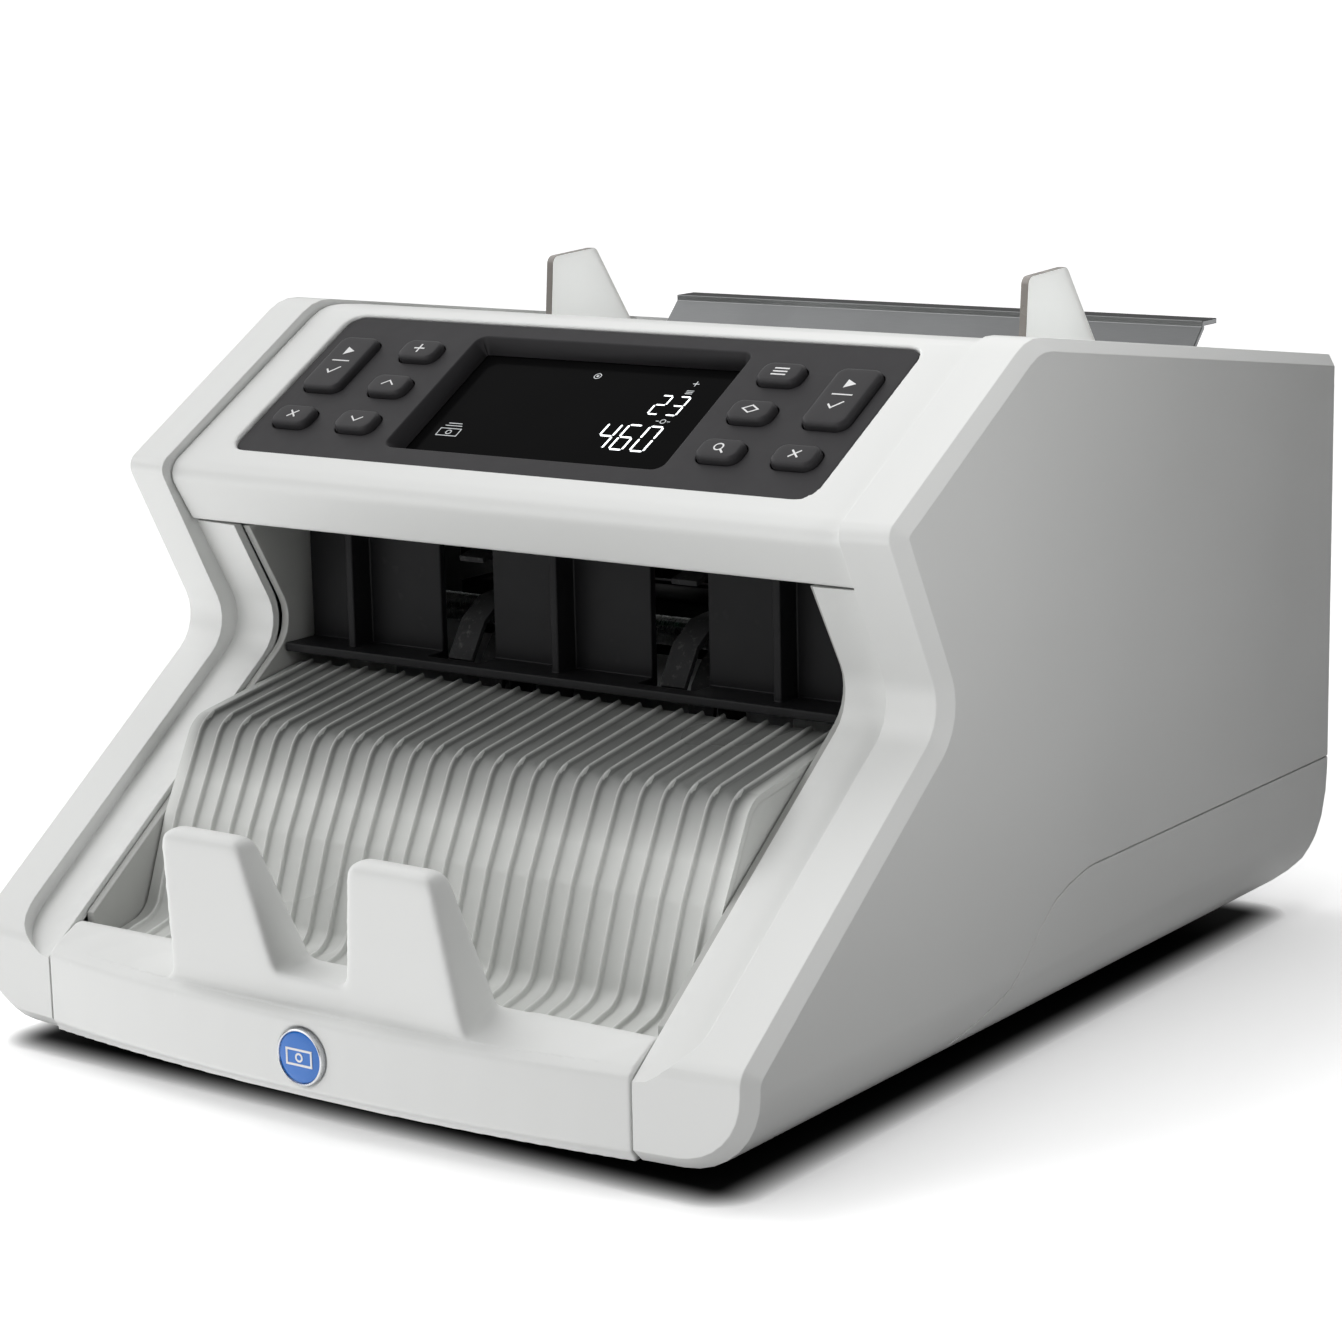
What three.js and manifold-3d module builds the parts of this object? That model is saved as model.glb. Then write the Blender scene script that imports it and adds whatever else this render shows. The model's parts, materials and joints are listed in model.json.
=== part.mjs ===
// Countertop banknote counter: white two-sided shell with a Z-shaped front, a banknote
// hopper on top, a sloping control panel and an open stacker pocket with two upright stops.
// Millimetres, +Z up, +X to the right seen from the front, +Y to the back.
import * as THREE from "three";
import { mergeVertices } from "three/addons/utils/BufferGeometryUtils.js";
import Module from "manifold-3d";

const wasm = await Module();
wasm.setup();

// ---------------------------------------------------------------- driving dimensions
const HALF_W = 125; // side walls
const STEP_X = 108.4; // inner edge of the raised rim
const POCKET_X = 93.65; // lip seam and pocket edge
const FLOOR_Z = 7.4; // underside of the shell, above the feet
const REAR_Y = 304.2;
const WALL = 2.5;
const CHAMFER = 3.3; // 45 degree edge round both side walls
const BOTTOM_R = 20; // rolled lower edges, front view
const Y_SHIFT = 147.85; // moves the origin to the middle of the overall depth
const SLOPE = Math.PI / 6; // control panel, 30 degrees
const PANEL_P = [77.7, 149.8]; // lower edge of the control panel, y z
const PANEL_HALF_X = 93.4;
const PANEL_T = 61.5; // length of the panel along its slope
const KEY_H = 2.0; // key tops above the panel
const KEY_TRAVEL = 1.0;
const BOW = 7.6; // forward bow of the front lip at its middle
const GUIDE_X = 80; // note guides
const FEED = [237.6, 103.4], FEED_R = 15;
const PICK = [261.1, 131.9], PICK_R = 12.5;
const RETARD = [220.4, 120.6], RETARD_R = 9;
const STACK = [136, 100], STACK_R = 36;
const MOTOR = [250, 45];
const GAP = 0.3;

// ---------------------------------------------------------------- materials
const mat = (color, roughness = 0.5, metalness = 0) =>
  new THREE.MeshStandardMaterial({ color, roughness, metalness });
const WHITE = () => mat(0xe8e8e6, 0.45);
const DARK = () => mat(0x3a393b, 0.5);
const BLACK = () => mat(0x151516, 0.5);
const GREY = () => mat(0x8f9190, 0.5);
const STEEL = () => mat(0xb4b6b8, 0.35, 0.9);
const RUBBER = () => mat(0x222222, 0.9);

// ---------------------------------------------------------------- outline helpers
// [a, b, r] corners of a closed outline -> points with rounded corners
function fillet(corners, step = 0.26) {
  const out = [], n = corners.length;
  for (let i = 0; i < n; i++) {
    const [x, y, r = 0] = corners[i];
    const p = corners[(i + n - 1) % n], q = corners[(i + 1) % n];
    const c = new THREE.Vector2(x, y);
    const a = new THREE.Vector2(p[0] - x, p[1] - y), b = new THREE.Vector2(q[0] - x, q[1] - y);
    const la = a.length(), lb = b.length();
    a.normalize(); b.normalize();
    const th = Math.acos(Math.min(1, Math.max(-1, a.dot(b))));
    if (r <= 0 || Math.PI - th < 0.02) { out.push(c); continue; }
    let t = r / Math.tan(th / 2);
    t = Math.min(t, la * 0.49, lb * 0.49);
    const rr = t * Math.tan(th / 2);
    const m = a.clone().add(b).normalize();
    const o = c.clone().add(m.multiplyScalar(rr / Math.sin(th / 2)));
    const s = c.clone().add(a.multiplyScalar(t)), e = c.clone().add(b.multiplyScalar(t));
    let a0 = Math.atan2(s.y - o.y, s.x - o.x), a1 = Math.atan2(e.y - o.y, e.x - o.x), d = a1 - a0;
    while (d > Math.PI) d -= 2 * Math.PI;
    while (d < -Math.PI) d += 2 * Math.PI;
    const k = Math.max(2, Math.ceil(Math.abs(d) / step));
    for (let j = 0; j <= k; j++)
      out.push(new THREE.Vector2(o.x + rr * Math.cos(a0 + (d * j) / k), o.y + rr * Math.sin(a0 + (d * j) / k)));
  }
  return out;
}
// counter-clockwise corners moved inwards by d
function inset(corners, d) {
  const n = corners.length;
  const L = corners.map((p, i) => {
    const q = corners[(i + 1) % n], dx = q[0] - p[0], dy = q[1] - p[1], l = Math.hypot(dx, dy);
    return [p[0] - (dy / l) * d, p[1] + (dx / l) * d, dx / l, dy / l];
  });
  return corners.map((p, i) => {
    const A = L[(i + n - 1) % n], B = L[i], cr = A[2] * B[3] - A[3] * B[2];
    const t = ((B[0] - A[0]) * B[3] - (B[1] - A[1]) * B[2]) / cr;
    const r = p[2] || 0;
    return [A[0] + A[2] * t, A[1] + A[3] * t, r ? Math.max(0.3, cr > 0 ? r - d : r + d) : 0];
  });
}
// open path thickened to its left by t, as a closed outline
function band(points, t) {
  const n = points.length, off = points.map((p, i) => {
    const a = points[Math.max(0, i - 1)], b = points[Math.min(n - 1, i + 1)];
    const d1 = i ? p.clone().sub(a).normalize() : b.clone().sub(p).normalize();
    const d2 = i < n - 1 ? b.clone().sub(p).normalize() : d1;
    const n1 = new THREE.Vector2(-d1.y, d1.x), n2 = new THREE.Vector2(-d2.y, d2.x);
    const m = n1.clone().add(n2).normalize();
    return p.clone().add(m.multiplyScalar(t / Math.max(0.4, m.dot(n1))));
  });
  return [...points, ...off.reverse()];
}
const V = (list) => list.map(([x, y]) => new THREE.Vector2(x, y));
const rrect = (x0, x1, y0, y1, r = 0, step = 0.4) =>
  fillet([[x0, y0, r], [x1, y0, r], [x1, y1, r], [x0, y1, r]], step);
const arcPts = (cx, cy, r, n) =>
  Array.from({ length: n }, (_, i) => new THREE.Vector2(cx + r * Math.cos((2 * Math.PI * i) / n), cy + r * Math.sin((2 * Math.PI * i) / n)));

// ---------------------------------------------------------------- solid helpers
function solid(g) {
  g = g.clone();
  for (const k of Object.keys(g.attributes)) if (k !== "position") g.deleteAttribute(k);
  const m = mergeVertices(g, 1e-4);
  return new wasm.Manifold(new wasm.Mesh({
    numProp: 3,
    vertProperties: new Float32Array(m.attributes.position.array),
    triVerts: new Uint32Array(m.index.array),
  }));
}
function geo(s, warp, flip) {
  const m = s.getMesh(), n = m.numProp, v = new Float32Array(m.numVert * 3), t = new Uint32Array(m.triVerts);
  for (let i = 0; i < m.numVert; i++) {
    const p = [m.vertProperties[i * n], m.vertProperties[i * n + 1], m.vertProperties[i * n + 2]];
    v.set(warp ? warp(p) : p, i * 3);
  }
  if (flip) for (let i = 0; i < t.length; i += 3) [t[i + 1], t[i + 2]] = [t[i + 2], t[i + 1]];
  const g = new THREE.BufferGeometry();
  g.setAttribute("position", new THREE.BufferAttribute(v, 3));
  g.setIndex(new THREE.BufferAttribute(t, 1));
  g.computeVertexNormals();
  return g;
}
const mirror = (s) => solid(geo(s, ([x, y, z]) => [-x, y, z], true));
const PERM = new THREE.Matrix4().set(0, 0, 1, 0, 1, 0, 0, 0, 0, 1, 0, 0, 0, 0, 0, 1);
function ext(points, len, bevel = 0, holes = [], steps = 1) {
  const s = new THREE.Shape(points);
  for (const h of holes) s.holes.push(new THREE.Path(h));
  const g = new THREE.ExtrudeGeometry(s, {
    depth: len - 2 * bevel, steps, curveSegments: 8, bevelEnabled: bevel > 0,
    bevelThickness: bevel, bevelSize: bevel, bevelOffset: -bevel, bevelSegments: 1,
  });
  return g.translate(0, 0, bevel);
}
const gX = (pts, x0, x1, b = 0, h = [], steps = 1) => ext(pts, x1 - x0, b, h, steps).applyMatrix4(PERM).translate(x0, 0, 0);
const gY = (pts, y0, y1, b = 0, h = []) => ext(pts, y1 - y0, b, h).rotateX(Math.PI / 2).translate(0, y1, 0);
const gZ = (pts, z0, z1, b = 0, h = []) => ext(pts, z1 - z0, b, h).translate(0, 0, z0);
const sX = (...a) => solid(gX(...a)), sY = (...a) => solid(gY(...a)), sZ = (...a) => solid(gZ(...a));
const box = (x0, x1, y0, y1, z0, z1) =>
  solid(new THREE.BoxGeometry(x1 - x0, y1 - y0, z1 - z0).translate((x0 + x1) / 2, (y0 + y1) / 2, (z0 + z1) / 2));
const cylX = (r, x0, x1, y, z, n = 24) =>
  solid(new THREE.CylinderGeometry(r, r, x1 - x0, n).rotateZ(Math.PI / 2).translate((x0 + x1) / 2, y, z));
const cylY = (r, x, z, y0, y1, n = 24) =>
  solid(new THREE.CylinderGeometry(r, r, y1 - y0, n).translate(x, (y0 + y1) / 2, z));
const cylZ = (r, x, y, z0, z1, n = 24) =>
  solid(new THREE.CylinderGeometry(r, r, z1 - z0, n).rotateX(Math.PI / 2).translate(x, y, (z0 + z1) / 2));
const all = (...s) => s.reduce((a, b) => a.add(b));

const group = new THREE.Group();
group.position.set(0, -Y_SHIFT, 0);
const root = new THREE.Group();
root.add(group);
function put(name, s, material, warp) {
  const m = new THREE.Mesh(s.isBufferGeometry ? s : geo(s, warp), material);
  m.name = name;
  group.add(m);
  return m;
}

// ---------------------------------------------------------------- outer shape
// side view outline, y z r, counter-clockwise
const topZ = (y) => 202.3 - 0.132 * y;
const RIM = [[0.3, FLOOR_Z, 0], [REAR_Y, FLOOR_Z, 35], [REAR_Y, topZ(REAR_Y), 0], [131.2, 185, 20], [63.7, 146, 4], [88.9, 97.8, 12], [0.3, 32.2, 6]];
const SECT = [[-HALF_W, FLOOR_Z, BOTTOM_R], [HALF_W, FLOOR_Z, BOTTOM_R], [HALF_W, 200, 0], [-HALF_W, 200, 0]];
const OUT = sX(fillet(RIM), -HALF_W, HALF_W, CHAMFER).intersect(sY(fillet(SECT, 0.2), 0.3, REAR_Y, CHAMFER));
const INN = sX(fillet(inset(RIM, WALL)), -HALF_W + WALL, HALF_W - WALL).intersect(sY(fillet(inset(SECT, WALL), 0.2), -5, 320));
const SHELL = OUT.subtract(INN);
// parting line of the lower rear housing, side view
const seam = (d) => fillet([[96 + d, -5], [330, -5], [330, 45.5 - d], [158, 45.5 - d, 30], [140.5 + d * 0.7, 41.5 - d * 0.7, 30], [118.5 + d * 0.7, 22.6 - d * 0.7, 18], [96 + d, 13 - d, 6]]);
const LOWER = sX(seam(0.2), -140, 140), LOWER_CUT = sX(seam(-0.2), -140, 140);

// cheek faces beside the pocket, one step below the rim
const CHEEK = [[0.3, FLOOR_Z], [150, FLOOR_Z], [150, 129.2], [77.7, 129.2], [95.4, 98.1, 12], [0.3, 27.2, 4]];
const CHEEK_IN = inset([[0.3, FLOOR_Z], [170, FLOOR_Z], [170, 150], [65.9, 150], [95.4, 98.1, 12], [0.3, 27.2, 4]], WALL);
const CH_A = Math.atan2(98.1 - 27.2, 95.4 - 0.3);
const recess = solid(ext(rrect(-STEP_X, STEP_X, 0, 160, 14.5, 0.25), 30).rotateX(CH_A).translate(0, 0.3, 27.2));
const frontBody = sY(fillet(SECT, 0.2), 0.3, 160, CHAMFER);
let side = SHELL.intersect(box(STEP_X, 140, -5, 320, 0, 200));
side = side.add(OUT.intersect(box(STEP_X, STEP_X + WALL, -5, 320, 0, 200)).subtract(sX(fillet(inset(RIM, 15)), 90, 120)));
side = side.add(sX(fillet(CHEEK), POCKET_X, STEP_X + 1).intersect(frontBody).subtract(sX(fillet(CHEEK_IN), 80, 120)));
side = side.add(OUT.intersect(box(POCKET_X, STEP_X + 1, -5, 24, 18, 50)).subtract(sX(fillet(CHEEK_IN), 80, 120)).subtract(recess));
side = side.subtract(LOWER_CUT);
// the rim fronts fall back slightly towards the outside
const rake = ([x, y, z]) => {
  const w = Math.min(1, Math.max(0, ((z > 60 ? 150 : 85) - y) / 60));
  return [x, y + 0.1 * Math.max(0, Math.abs(x) - POCKET_X) * w, z];
};
const sideR = solid(geo(side, rake));
put("right_side_panel", sideR, WHITE());
put("left_side_panel", mirror(sideR), WHITE());

// lower housing: floor, rolled lower sides and rear
const base = SHELL.intersect(LOWER).add(box(-93.2, 93.2, 14, 110, FLOOR_Z, FLOOR_Z + WALL));
put("base_housing", base, WHITE());
for (const [n, x, y] of [["front_left_foot", -84, 32], ["front_right_foot", 84, 32], ["rear_left_foot", -84, 258], ["rear_right_foot", 84, 258]])
  put(n, solid(new THREE.LatheGeometry(V([[0, 0], [9, 0], [10, 1], [10.5, FLOOR_Z - GAP], [0, FLOOR_Z - GAP]]), 20).rotateX(Math.PI / 2).translate(x, y, 0)), RUBBER());

// ---------------------------------------------------------------- front lip with two upright stops
const bow = (x) => -BOW * (1 - (x / POCKET_X) ** 2);
const LIP_OUT = [[0.3, 10.4], [1.8, 8.4], [1.8, FLOOR_Z], [13.4, FLOOR_Z], [13.4, 33.2], [12.6, 34.4], [10.2, 34.4], [0.3, 29.1, 3]];
const LIP_IN = [[2.9, FLOOR_Z + WALL], [20, FLOOR_Z + WALL], [20, 24], [10.7, 31.2], [2.9, 26]];
const lipX = POCKET_X - 0.35;
const bowIt = ([x, y, z]) => {
  const w = Math.min(1, Math.max(0, (10.2 - y) / 9.9)), b = bow(x);
  return [x, y + b * w, z];
};
const bent = (g) => {
  const p = g.attributes.position;
  for (let i = 0; i < p.count; i++) p.setXYZ(i, ...bowIt([p.getX(i), p.getY(i), p.getZ(i)]));
  return solid(g);
};
let lip = bent(gX(fillet(LIP_OUT, 0.5), -lipX, lipX, 0, [], 14)).subtract(bent(gX(V(LIP_IN), -lipX + WALL, lipX - WALL, 0, [], 12)));
const FINGER_F = fillet([[-48, 29], [48, 29], [46.7, 33, 0], [43.1, 70.6, 4], [17.4, 70.6, 4], [11.2, 37.5, 2.5], [-11.2, 37.5, 2.5], [-17.4, 70.6, 4], [-43.1, 70.6, 4], [-46.7, 33, 0]], 0.45);
const FINGER_S = fillet([[-2.2, 29], [11.4, 29], [11.4, 36, 2], [-1.4, 70.6, 2.5], [-8.6, 70.6, 2.5], [-2.9, 33, 6]], 0.5);
lip = lip.add(sY(FINGER_F, -14, 14).intersect(sX(FINGER_S, -60, 60)));
lip = lip.subtract(cylY(7.6, 0, 18.9, -12, bow(0) + 1.4, 32));
put("front_lip", lip, WHITE());
put("front_badge", cylY(7.2, 0, 18.9, bow(0) - 0.9, bow(0) + 1.1, 32), mat(0x1f6fd0, 0.3));

// ---------------------------------------------------------------- stacker pocket
const WALL_S = fillet([[14.6, 12.2], [140, 12.2], [140, 128.8], [80.8, 128.8], [98.4, 98.6, 11], [14.6, 36.2]]);
const stackWall = sX(WALL_S, 90.9, 93.4).subtract(cylX(4.8, 80, 100, ...STACK, 16));
put("right_stacker_wall", stackWall, GREY());
put("left_stacker_wall", mirror(stackWall), GREY());
const RAMP = fillet([[98.4, 88.2], [55, 80.9, 9], [42.5, 57, 10], [33, 32, 8], [14.2, 27.6]], 0.35).slice(1, -1);
RAMP.unshift(new THREE.Vector2(98.4, 88.2));
RAMP.push(new THREE.Vector2(14.2, 27.6));
let ramp = sX(band(RAMP, 2), -90.5, 90.5);
const ribPath = band(RAMP, 0.8).slice(RAMP.length).reverse();
ribPath[0].add(new THREE.Vector2(-1, -0.14));
ribPath[ribPath.length - 1].add(new THREE.Vector2(1, 0.23));
for (let i = -9; i <= 9; i++) {
  const x = i * 9.5;
  ramp = ramp.add(sX(band(ribPath, -2.4), x - 0.6, x + 0.6));
}
put("stacker_ramp", ramp, mat(0xb9bbb6, 0.35));
let back = sX(V([[92.6, 92], [107, 92], [107, 128.6], [104.5, 128.6], [104.5, 94.5], [92.6, 94.5]]), -90.5, 90.5);
for (const x of [-35, 35]) back = back.subtract(box(x - 9, x + 9, 98, 112, 90, 125));
for (const x of [-70, 0, 70]) back = back.add(box(x - 1.2, x + 1.2, 97, 105, 94, 128.6));
put("stacker_back_guide", back, BLACK());

// stacker wheels with curved vanes on one shaft
const vane = (k) => {
  const a0 = (2 * Math.PI * k) / 8, out = [];
  for (let j = 0; j <= 4; j++) {
    const r = 10 + (26 * j) / 4, a = a0 + 0.95 * (j / 4) ** 1.3;
    out.push(new THREE.Vector2(STACK[0] + r * Math.cos(a), STACK[1] + r * Math.sin(a)));
  }
  return band(out, 1.5);
};
const wheel = (x) => {
  let w = sX(arcPts(...STACK, 12.5, 16), x - 5, x + 5);
  for (let k = 0; k < 8; k++) w = w.add(sX(vane(k), x - 4, x + 4));
  return w.subtract(cylX(4.3, x - 9, x + 9, ...STACK, 16));
};
put("left_stacker_wheel", wheel(-35), mat(0x2b2c2e, 0.7));
put("right_stacker_wheel", wheel(35), mat(0x2b2c2e, 0.7));
put("stacker_shaft", cylX(4, -117, 104, ...STACK, 16), STEEL());

// ---------------------------------------------------------------- head cover and control panel
const headTop = (y) => topZ(y) - 0.8;
const HEAD = fillet([[107, 130], [76.7, 130, 1], [67.5, 144.9, 5], [134, 183.2, 20], [152, headTop(152), 1.5], [152, 168]], 0.24).slice(1, -1);
HEAD.unshift(new THREE.Vector2(107, 130));
HEAD.push(new THREE.Vector2(152, 168));
let head = sX(band(HEAD, -WALL), -STEP_X + GAP, STEP_X - GAP);
// frame of the panel: local x = width, local y = up the slope, local z = out of the face
const panelM = new THREE.Matrix4().makeRotationX(SLOPE).setPosition(0, PANEL_P[0], PANEL_P[1]);
const pl = (points, h0, h1, b = 0, holes = []) => ext(points, h1 - h0, b, holes).translate(0, 0, h0).applyMatrix4(panelM);
const sP = (...a) => solid(pl(...a));
head = head.subtract(sP(rrect(-PANEL_HALF_X - 0.3, PANEL_HALF_X + 0.3, -0.3, PANEL_T + 0.3, 5.3), -12, 6));
for (const s of [-1, 1]) // side returns that close the head against the side panels
  head = head.add(sX(fillet([[78.5, 131], [106, 131], [106, 137], [94, 137], [84, 145], [132, 172], [132, 180.5], [70.5, 145.3, 3]]), s > 0 ? 104.6 : -107.1, s > 0 ? 107.1 : -104.6));
put("head_cover", head, WHITE());

const SMALL = [12.9, 8.2], TALL = [13.4, 23.2];
const KEYS = [
  ["start_key_left", -81.6, 38.6, TALL], ["clear_key_left", -81.2, 15, SMALL], ["add_key", -58.9, 46.6, SMALL],
  ["up_key", -58.9, 30.9, SMALL], ["down_key", -58.9, 15, SMALL], ["batch_key", 58.9, 46.6, SMALL],
  ["mode_key", 58.9, 30.9, SMALL], ["detect_key", 58.9, 15, SMALL], ["start_key_right", 81.6, 38.6, TALL],
  ["clear_key_right", 81.2, 15, SMALL],
];
let bezel = sP(rrect(-PANEL_HALF_X, PANEL_HALF_X, 0, PANEL_T, 5), -3, 0);
bezel = bezel.add(sP(rrect(-47.2, 47.2, 5.2, 57.8, 2), -4.4, -1));
const dispCut = new THREE.ExtrudeGeometry(new THREE.Shape(rrect(-45, 45, 7, 56, 3)), { depth: 8, bevelEnabled: true, bevelThickness: 4.5, bevelSize: 2.5, bevelOffset: -2.5, bevelSegments: 1, curveSegments: 6 });
bezel = bezel.subtract(solid(dispCut.applyMatrix4(panelM)));
for (const [, x, t, [w, h]] of KEYS)
  bezel = bezel.subtract(sP(rrect(x - w / 2 - 0.35, x + w / 2 + 0.35, t - h / 2 - 0.35, t + h / 2 + 0.35, 3.35, 0.8), -9, 5));
put("control_bezel", bezel, DARK());
for (const [name, x, t, [w, h]] of KEYS) {
  const cap = sP(rrect(x - w / 2, x + w / 2, t - h / 2, t + h / 2, 3, 0.8), -5.6, KEY_H, 0.7);
  const flange = sP(rrect(x - w / 2 - 1.2, x + w / 2 + 1.2, t - h / 2 - 1.2, t + h / 2 + 1.2, 0), -4.6, -3.4);
  put(name, cap.add(flange), DARK());
}
put("display_window", pl(rrect(-46, 46, 6, 57, 1.5), -6.2, -4.7), mat(0x0b0b0d, 0.08));
put("display_module", sP(rrect(-46, 46, 6.2, 56.8, 0), -8.1, -6.5).add(sP(rrect(-42, 42, 10, 53, 0), -12, -7.5)), mat(0x1d3b2a, 0.6));
let kb = sP(rrect(-91, 91, 2, 59.5, 2), -9, -7.4).subtract(sP(rrect(-48, 48, 4, 70, 0), -20, 5));
put("keypad_board", kb, mat(0x1d4a2e, 0.6));

// ---------------------------------------------------------------- hopper
const FW = [[152.4, 165.8], [206, 130.4]]; // front wall of the hopper, y z
let tray = sX(band(V(FW), -WALL), -104.6, 104.6);
for (const s of [-1, 1]) {
  const x0 = s > 0 ? 104.4 : -107.6, x1 = s > 0 ? 107.6 : -104.4;
  tray = tray.add(sX(V([[152.4, 163.5], [206, 130], [222, 121], [229, 120.5], [250, 140.5], [274, 163.6], [274, headTop(274)], [152.4, headTop(152.4)]]), x0, x1));
}
const SLOT = [-97, -48];
const fwA = Math.atan2(FW[1][1] - FW[0][1], FW[1][0] - FW[0][0]);
for (const s of [-1, 1]) // slots in which the guides travel
  tray = tray.subtract(solid(new THREE.BoxGeometry(52, 7, 12).rotateX(fwA).translate(s * 71.6, 190, 139.6)));
put("hopper_tray", tray, mat(0xd9dad8, 0.5));
const SHEET = [[236, 123], [237.06, 121.94], [285, 169.9], [285, 170.8], [292.6, 170.8], [292.6, 172.3], [283.6, 172.3], [283.6, 170.6]];
let sheet = sX(V(SHEET), -91.9, 91.9);
for (const x of [-24, 24]) sheet = sheet.subtract(box(x - 8, x + 8, 244, 266, 120, 160));
put("hopper_support_plate", sheet, STEEL());
const GUIDE = fillet([[240.5, 136], [246, 163, 3], [224.4, 192.6, 3], [203.4, 191.6, 2.5], [201, 165], [184.5, 152], [182.6, 147.2], [208.8, 129.9], [214, 133.5]]);
const guide = sX(GUIDE, GUIDE_X - 1.15, GUIDE_X + 1.15);
// neck through the slot and a toothed bar beneath the hopper front wall
const rackM = new THREE.Matrix4().makeRotationX(fwA).setPosition(0, 187.6, 136.5);
const PIN_R = 8, TEETH = 16, PITCH = (2 * Math.PI * PIN_R) / TEETH;
const sR = (pts, h0, h1) => solid(ext(pts, h1 - h0).translate(0, 0, h0).applyMatrix4(rackM));
function rack(sign, x0, x1) { // a bar on one side of the pinion, teeth facing it
  const p = [], yb = sign * (PIN_R + 4.6), y0 = sign * (PIN_R + 1.15), y1 = sign * (PIN_R - 0.6);
  p.push([x0, yb], [x0, y0]);
  const k0 = Math.ceil((x0 + 1.6) / PITCH - 0.5), k1 = Math.floor((x1 - 1.6) / PITCH - 0.5);
  for (let k = k0; k <= k1; k++) {
    const c = (k + 0.5) * PITCH;
    p.push([c - 0.95, y0], [c - 0.35, y1], [c + 0.35, y1], [c + 0.95, y0]);
  }
  p.push([x1, y0], [x1, yb]);
  return V(sign < 0 ? p : p.reverse());
}
// right guide: lower bar; left guide: upper bar
const H0 = -8.6, H1 = -5.2;
const guideR = guide.add(sR(rrect(76, 84, -2.5, 3.1), -5.4, 12).intersect(box(70, 90, 180, 216, 126, 170)))
  .add(sR(rack(-1, -16, 84), H0, H1)).add(sR(rrect(76, 84, -12.6, 3.1), H0, -4.8));
const guideL = mirror(guide.add(sR(rrect(76, 84, -2.5, 3.1), -5.4, 12).intersect(box(70, 90, 180, 216, 126, 170))))
  .add(sR(rack(1, -84, 16), H0, H1)).add(sR(rrect(-84, -76, -2.5, 12.6), H0, -4.8));
put("right_note_guide", guideR, mat(0xd8dcd8, 0.2));
put("left_note_guide", guideL, mat(0xd8dcd8, 0.2));
const gear = [];
for (let k = 0; k < TEETH; k++) {
  const a = (2 * Math.PI * k) / TEETH, q = (r, d) => new THREE.Vector2(r * Math.cos(a + d), r * Math.sin(a + d));
  gear.push(q(PIN_R - 1.05, -0.125), q(PIN_R + 0.7, -0.045), q(PIN_R + 0.7, 0.045), q(PIN_R - 1.05, 0.125));
}
put("guide_pinion", sR(gear, H0, H1).add(sR(arcPts(0, 0, 3, 12), -12, -4.8)), mat(0xdadada, 0.5));

// ---------------------------------------------------------------- inner frame and transport
const FRAME = [[112, 10.2], [270, 10.2], [292, 26], [292, 157], [278, 157], [243, 122.6], [229, 125.6], [214, 126], [206, 123.6], [170, 146], [112, 125.5]];
let frame = sX(fillet(FRAME.map(([a, b]) => [a, b, 2]), 0.8), 99, 101);
for (const [c, r] of [[STACK, 4.3], [FEED, 4.3], [PICK, 3.3], [MOTOR, 6.5]]) frame = frame.subtract(cylX(r, 90, 110, ...c, 16));
frame = frame.subtract(cylX(2.4, 90, 110, ...RETARD, 12));
put("right_frame_plate", frame, STEEL());
put("left_frame_plate", mirror(frame), STEEL());
function roller(c, rs, R, xs, w, x0, x1) {
  let r = cylX(rs, x0, x1, ...c, 16);
  for (const x of xs) r = r.add(cylX(R, x - w / 2, x + w / 2, ...c, 20));
  return r;
}
put("pickup_roller", roller(PICK, 3, PICK_R, [-24, 24], 14, -104, 109), RUBBER());
put("feed_roller", roller(FEED, 4, FEED_R, [-30, 30], 30, -117, 109), RUBBER());
put("retard_roller", roller(RETARD, 2.1, RETARD_R, [-30, 30], 24, -104, 104), mat(0x7a5a3a, 0.8));
put("upper_sensor_bar", box(-92, 92, 172, 200, 106, 118).subtract(box(-86, 86, 176, 196, 104, 107)), BLACK());
put("lower_sensor_bar", box(-92, 92, 172, 206, 84, 99).subtract(box(-86, 86, 178, 200, 98, 101)), BLACK());

// ---------------------------------------------------------------- drive
function beltOutline([y1, z1], r1, [y2, z2], r2, n = 9) {
  const d = Math.hypot(y2 - y1, z2 - z1), a = Math.atan2(z2 - z1, y2 - y1), b = Math.acos((r1 - r2) / d), p = [];
  for (let i = 0; i <= n; i++) {
    const t = a + b + ((2 * Math.PI - 2 * b) * i) / n;
    p.push(new THREE.Vector2(y1 + r1 * Math.cos(t), z1 + r1 * Math.sin(t)));
  }
  for (let i = 0; i <= n; i++) {
    const t = a - b + (2 * b * i) / n;
    p.push(new THREE.Vector2(y2 + r2 * Math.cos(t), z2 + r2 * Math.sin(t)));
  }
  return p;
}
const belt = (c1, r1, c2, r2, x0, x1) => sX(beltOutline(c1, r1 + 1.6, c2, r2 + 1.6), x0, x1).subtract(sX(beltOutline(c1, r1 + 0.3, c2, r2 + 0.3), x0 - 1, x1 + 1));
const pulley = (c, r, x0, x1, rb) => {
  let p = cylX(r, x0, x1, ...c, 18).add(cylX(r + 2, x0, x0 + 1, ...c, 18)).add(cylX(r + 2, x1 - 1, x1, ...c, 18));
  return rb ? p.subtract(cylX(rb, x0 - 1, x1 + 1, ...c, 12)) : p;
};
put("drive_motor", cylX(19, -98.6, -40, ...MOTOR, 32).add(cylX(6, -100.9, -98, ...MOTOR, 20)).subtract(cylX(2.3, -102, -60, ...MOTOR, 12)), mat(0x9a9c9e, 0.35, 0.8));
put("motor_pulley", pulley(MOTOR, 7, -109.4, -102.4, 0).add(cylX(2, -105, -62, ...MOTOR, 12)), STEEL());
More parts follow.
